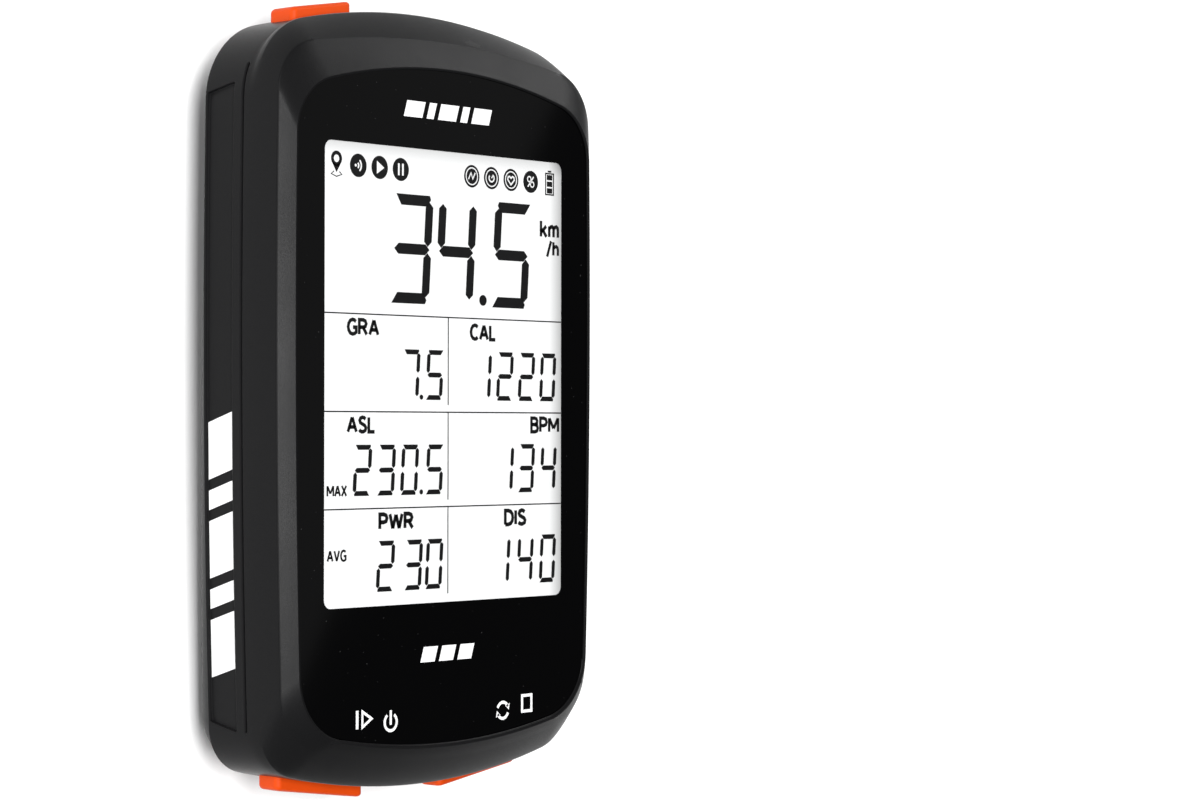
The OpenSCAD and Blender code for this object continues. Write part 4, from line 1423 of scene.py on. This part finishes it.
class COMPUTER_OT_studio(bpy.types.Operator):
    """Sets up the pale floor, the soft lights and the camera"""

    bl_idname = "computer.studio"
    bl_label = "Studio"

    def execute(self, context):
        scene = context.scene
        settings = scene.computer_studio
        corners = [(x * 4000, y * 4000) for x, y in ((-1, -1), (1, -1), (1, 1), (-1, 1))]
        floor = slab("floor", corners, -8.0, 0.0)
        net = Net("pale_floor")
        cloud = net.noise(3.0, 3.0)
        paint = net.blend(cloud, shade(settings.floor, 0.99), shade(settings.floor, 1.01))
        finish = net.finish(Base_Color=paint, Roughness=0.75 + cloud * 0.1, Specular_IOR_Level=0.1)
        floor.data.materials.append(finish)
        self.light_world(scene)
        self.light("key", (-0.3, 0.1, 1.15), (0.0, 0.0, 0.0), (1.5, 1.5), settings.light_power * 0.14)
        self.light("left", (-0.76, 0.02, 1.18), (0.0, 0.0, 0.0), (0.6, 0.32), settings.light_power * 1.7)
        self.light("low", (-1.2, 0.0, 0.5), (0.0, 0.0, 0.0), (0.9, 0.5), settings.light_power * 0.38)
        self.light("back", (0.9, 0.6, 0.55), (0.0, 0.0, 0.0), (0.45, 0.3), settings.light_power * 0.31)
        spin = math.radians(57.9 - 90)
        self.light("panel", (0.687, 0.239, 1.0), (0.687, 0.239, 0.0), (0.8, 1.5), 1.4, spin)
        self.place_camera(scene, settings.lens)
        scene.view_settings.view_transform = "Standard"
        scene.view_settings.look = "None"
        return {"FINISHED"}

    def place_camera(self, scene, lens):
        """A camera left of the object, looking down on it and turned so that the long sides stand upright."""
        camera = bpy.data.cameras.new("camera")
        camera.lens, camera.sensor_width = lens, 36.0
        camera.clip_start, camera.clip_end = 0.01, 20.0
        view = bpy.data.objects.new("camera", camera)
        scene.collection.objects.link(view)
        place = Vector((-0.24363, -0.00322, 0.24953))
        pitch, roll = math.radians(0.534), math.radians(0.08)
        level = math.cos(pitch)
        ahead = Vector((0.76108 * level, math.sin(pitch), -0.64865 * level)).normalized()
        right = ahead.cross(Vector((0.0, 1.0, 0.0))).normalized()
        up = right.cross(ahead)
        turn = Matrix((right, up, -ahead)).transposed().to_4x4()
        view.matrix_world = Matrix.Translation(place) @ turn @ Matrix.Rotation(roll, 4, "Z")
        scene.camera = view

    def light_world(self, scene):
        """A dim soft room whose walls look white."""
        world = bpy.data.worlds.new("studio")
        world.use_nodes = True
        tree = world.node_tree
        tree.nodes.clear()
        path = tree.nodes.new("ShaderNodeLightPath")
        walls = tree.nodes.new("ShaderNodeBackground")
        walls.inputs["Color"].default_value = (1.0, 1.0, 1.0, 1.0)
        room = tree.nodes.new("ShaderNodeBackground")
        room.inputs["Color"].default_value = (0.97, 0.98, 1.0, 1.0)
        room.inputs["Strength"].default_value = 0.08
        mix = tree.nodes.new("ShaderNodeMixShader")
        out = tree.nodes.new("ShaderNodeOutputWorld")
        tree.links.new(path.outputs["Is Camera Ray"], mix.inputs[0])
        tree.links.new(room.outputs[0], mix.inputs[1])
        tree.links.new(walls.outputs[0], mix.inputs[2])
        tree.links.new(mix.outputs[0], out.inputs["Surface"])
        scene.world = world

    def light(self, name, place, target, size, power, spin=0.0):
        """A soft rectangular light at a place, facing a target."""
        data = bpy.data.lights.new(name, "AREA")
        data.shape, data.size, data.size_y, data.energy = "RECTANGLE", size[0], size[1], power
        lamp = bpy.data.objects.new(name, data)
        bpy.context.scene.collection.objects.link(lamp)
        lamp.location = place
        way = Vector(target) - Vector(place)
        lamp.rotation_mode = "QUATERNION"
        turn = Matrix.Rotation(spin, 3, "Z").to_quaternion()
        lamp.rotation_quaternion = way.to_track_quat("-Z", "Y") @ turn


class COMPUTER_PT_panel(bpy.types.Panel):
    """Lists the sizes, the colours and the pieces"""

    bl_idname = "COMPUTER_PT_panel"
    bl_label = "Cycling computer"
    bl_space_type = "VIEW_3D"
    bl_region_type = "UI"
    bl_category = "Computer"

    def draw(self, context):
        for name in GROUPS:
            group = getattr(context.scene, name)
            column = self.layout.box().column()
            for key in group.bl_rna.properties.keys():
                if key not in ("rna_type", "name"):
                    column.prop(group, key)
        column = self.layout.column()
        for operator in OPERATORS:
            column.operator(operator.bl_idname)


GROUPS = {
    "computer_casing": CasingSizes,
    "computer_display": DisplaySizes,
    "computer_buttons": ButtonSizes,
    "computer_finishes": FinishColours,
    "computer_studio": StudioSettings,
}
OPERATORS = (
    COMPUTER_OT_front_housing,
    COMPUTER_OT_rear_cover,
    COMPUTER_OT_glass,
    COMPUTER_OT_display,
    COMPUTER_OT_printed_marks,
    COMPUTER_OT_buttons,
    COMPUTER_OT_port_flap,
    COMPUTER_OT_twist_mount,
    COMPUTER_OT_inner_finishes,
    COMPUTER_OT_studio,
)


def register():
    for group in GROUPS.values():
        bpy.utils.register_class(group)
    for name, group in GROUPS.items():
        setattr(bpy.types.Scene, name, bpy.props.PointerProperty(type=group))
    for operator in OPERATORS:
        bpy.utils.register_class(operator)
    bpy.utils.register_class(COMPUTER_PT_panel)


def unregister():
    bpy.utils.unregister_class(COMPUTER_PT_panel)
    for operator in reversed(OPERATORS):
        bpy.utils.unregister_class(operator)
    for name in GROUPS:
        delattr(bpy.types.Scene, name)
    for group in reversed(GROUPS.values()):
        bpy.utils.unregister_class(group)


def main():
    register()
    for operator in OPERATORS:
        group, name = operator.bl_idname.split(".")
        getattr(getattr(bpy.ops, group), name)()


if __name__ == "__main__":
    main()
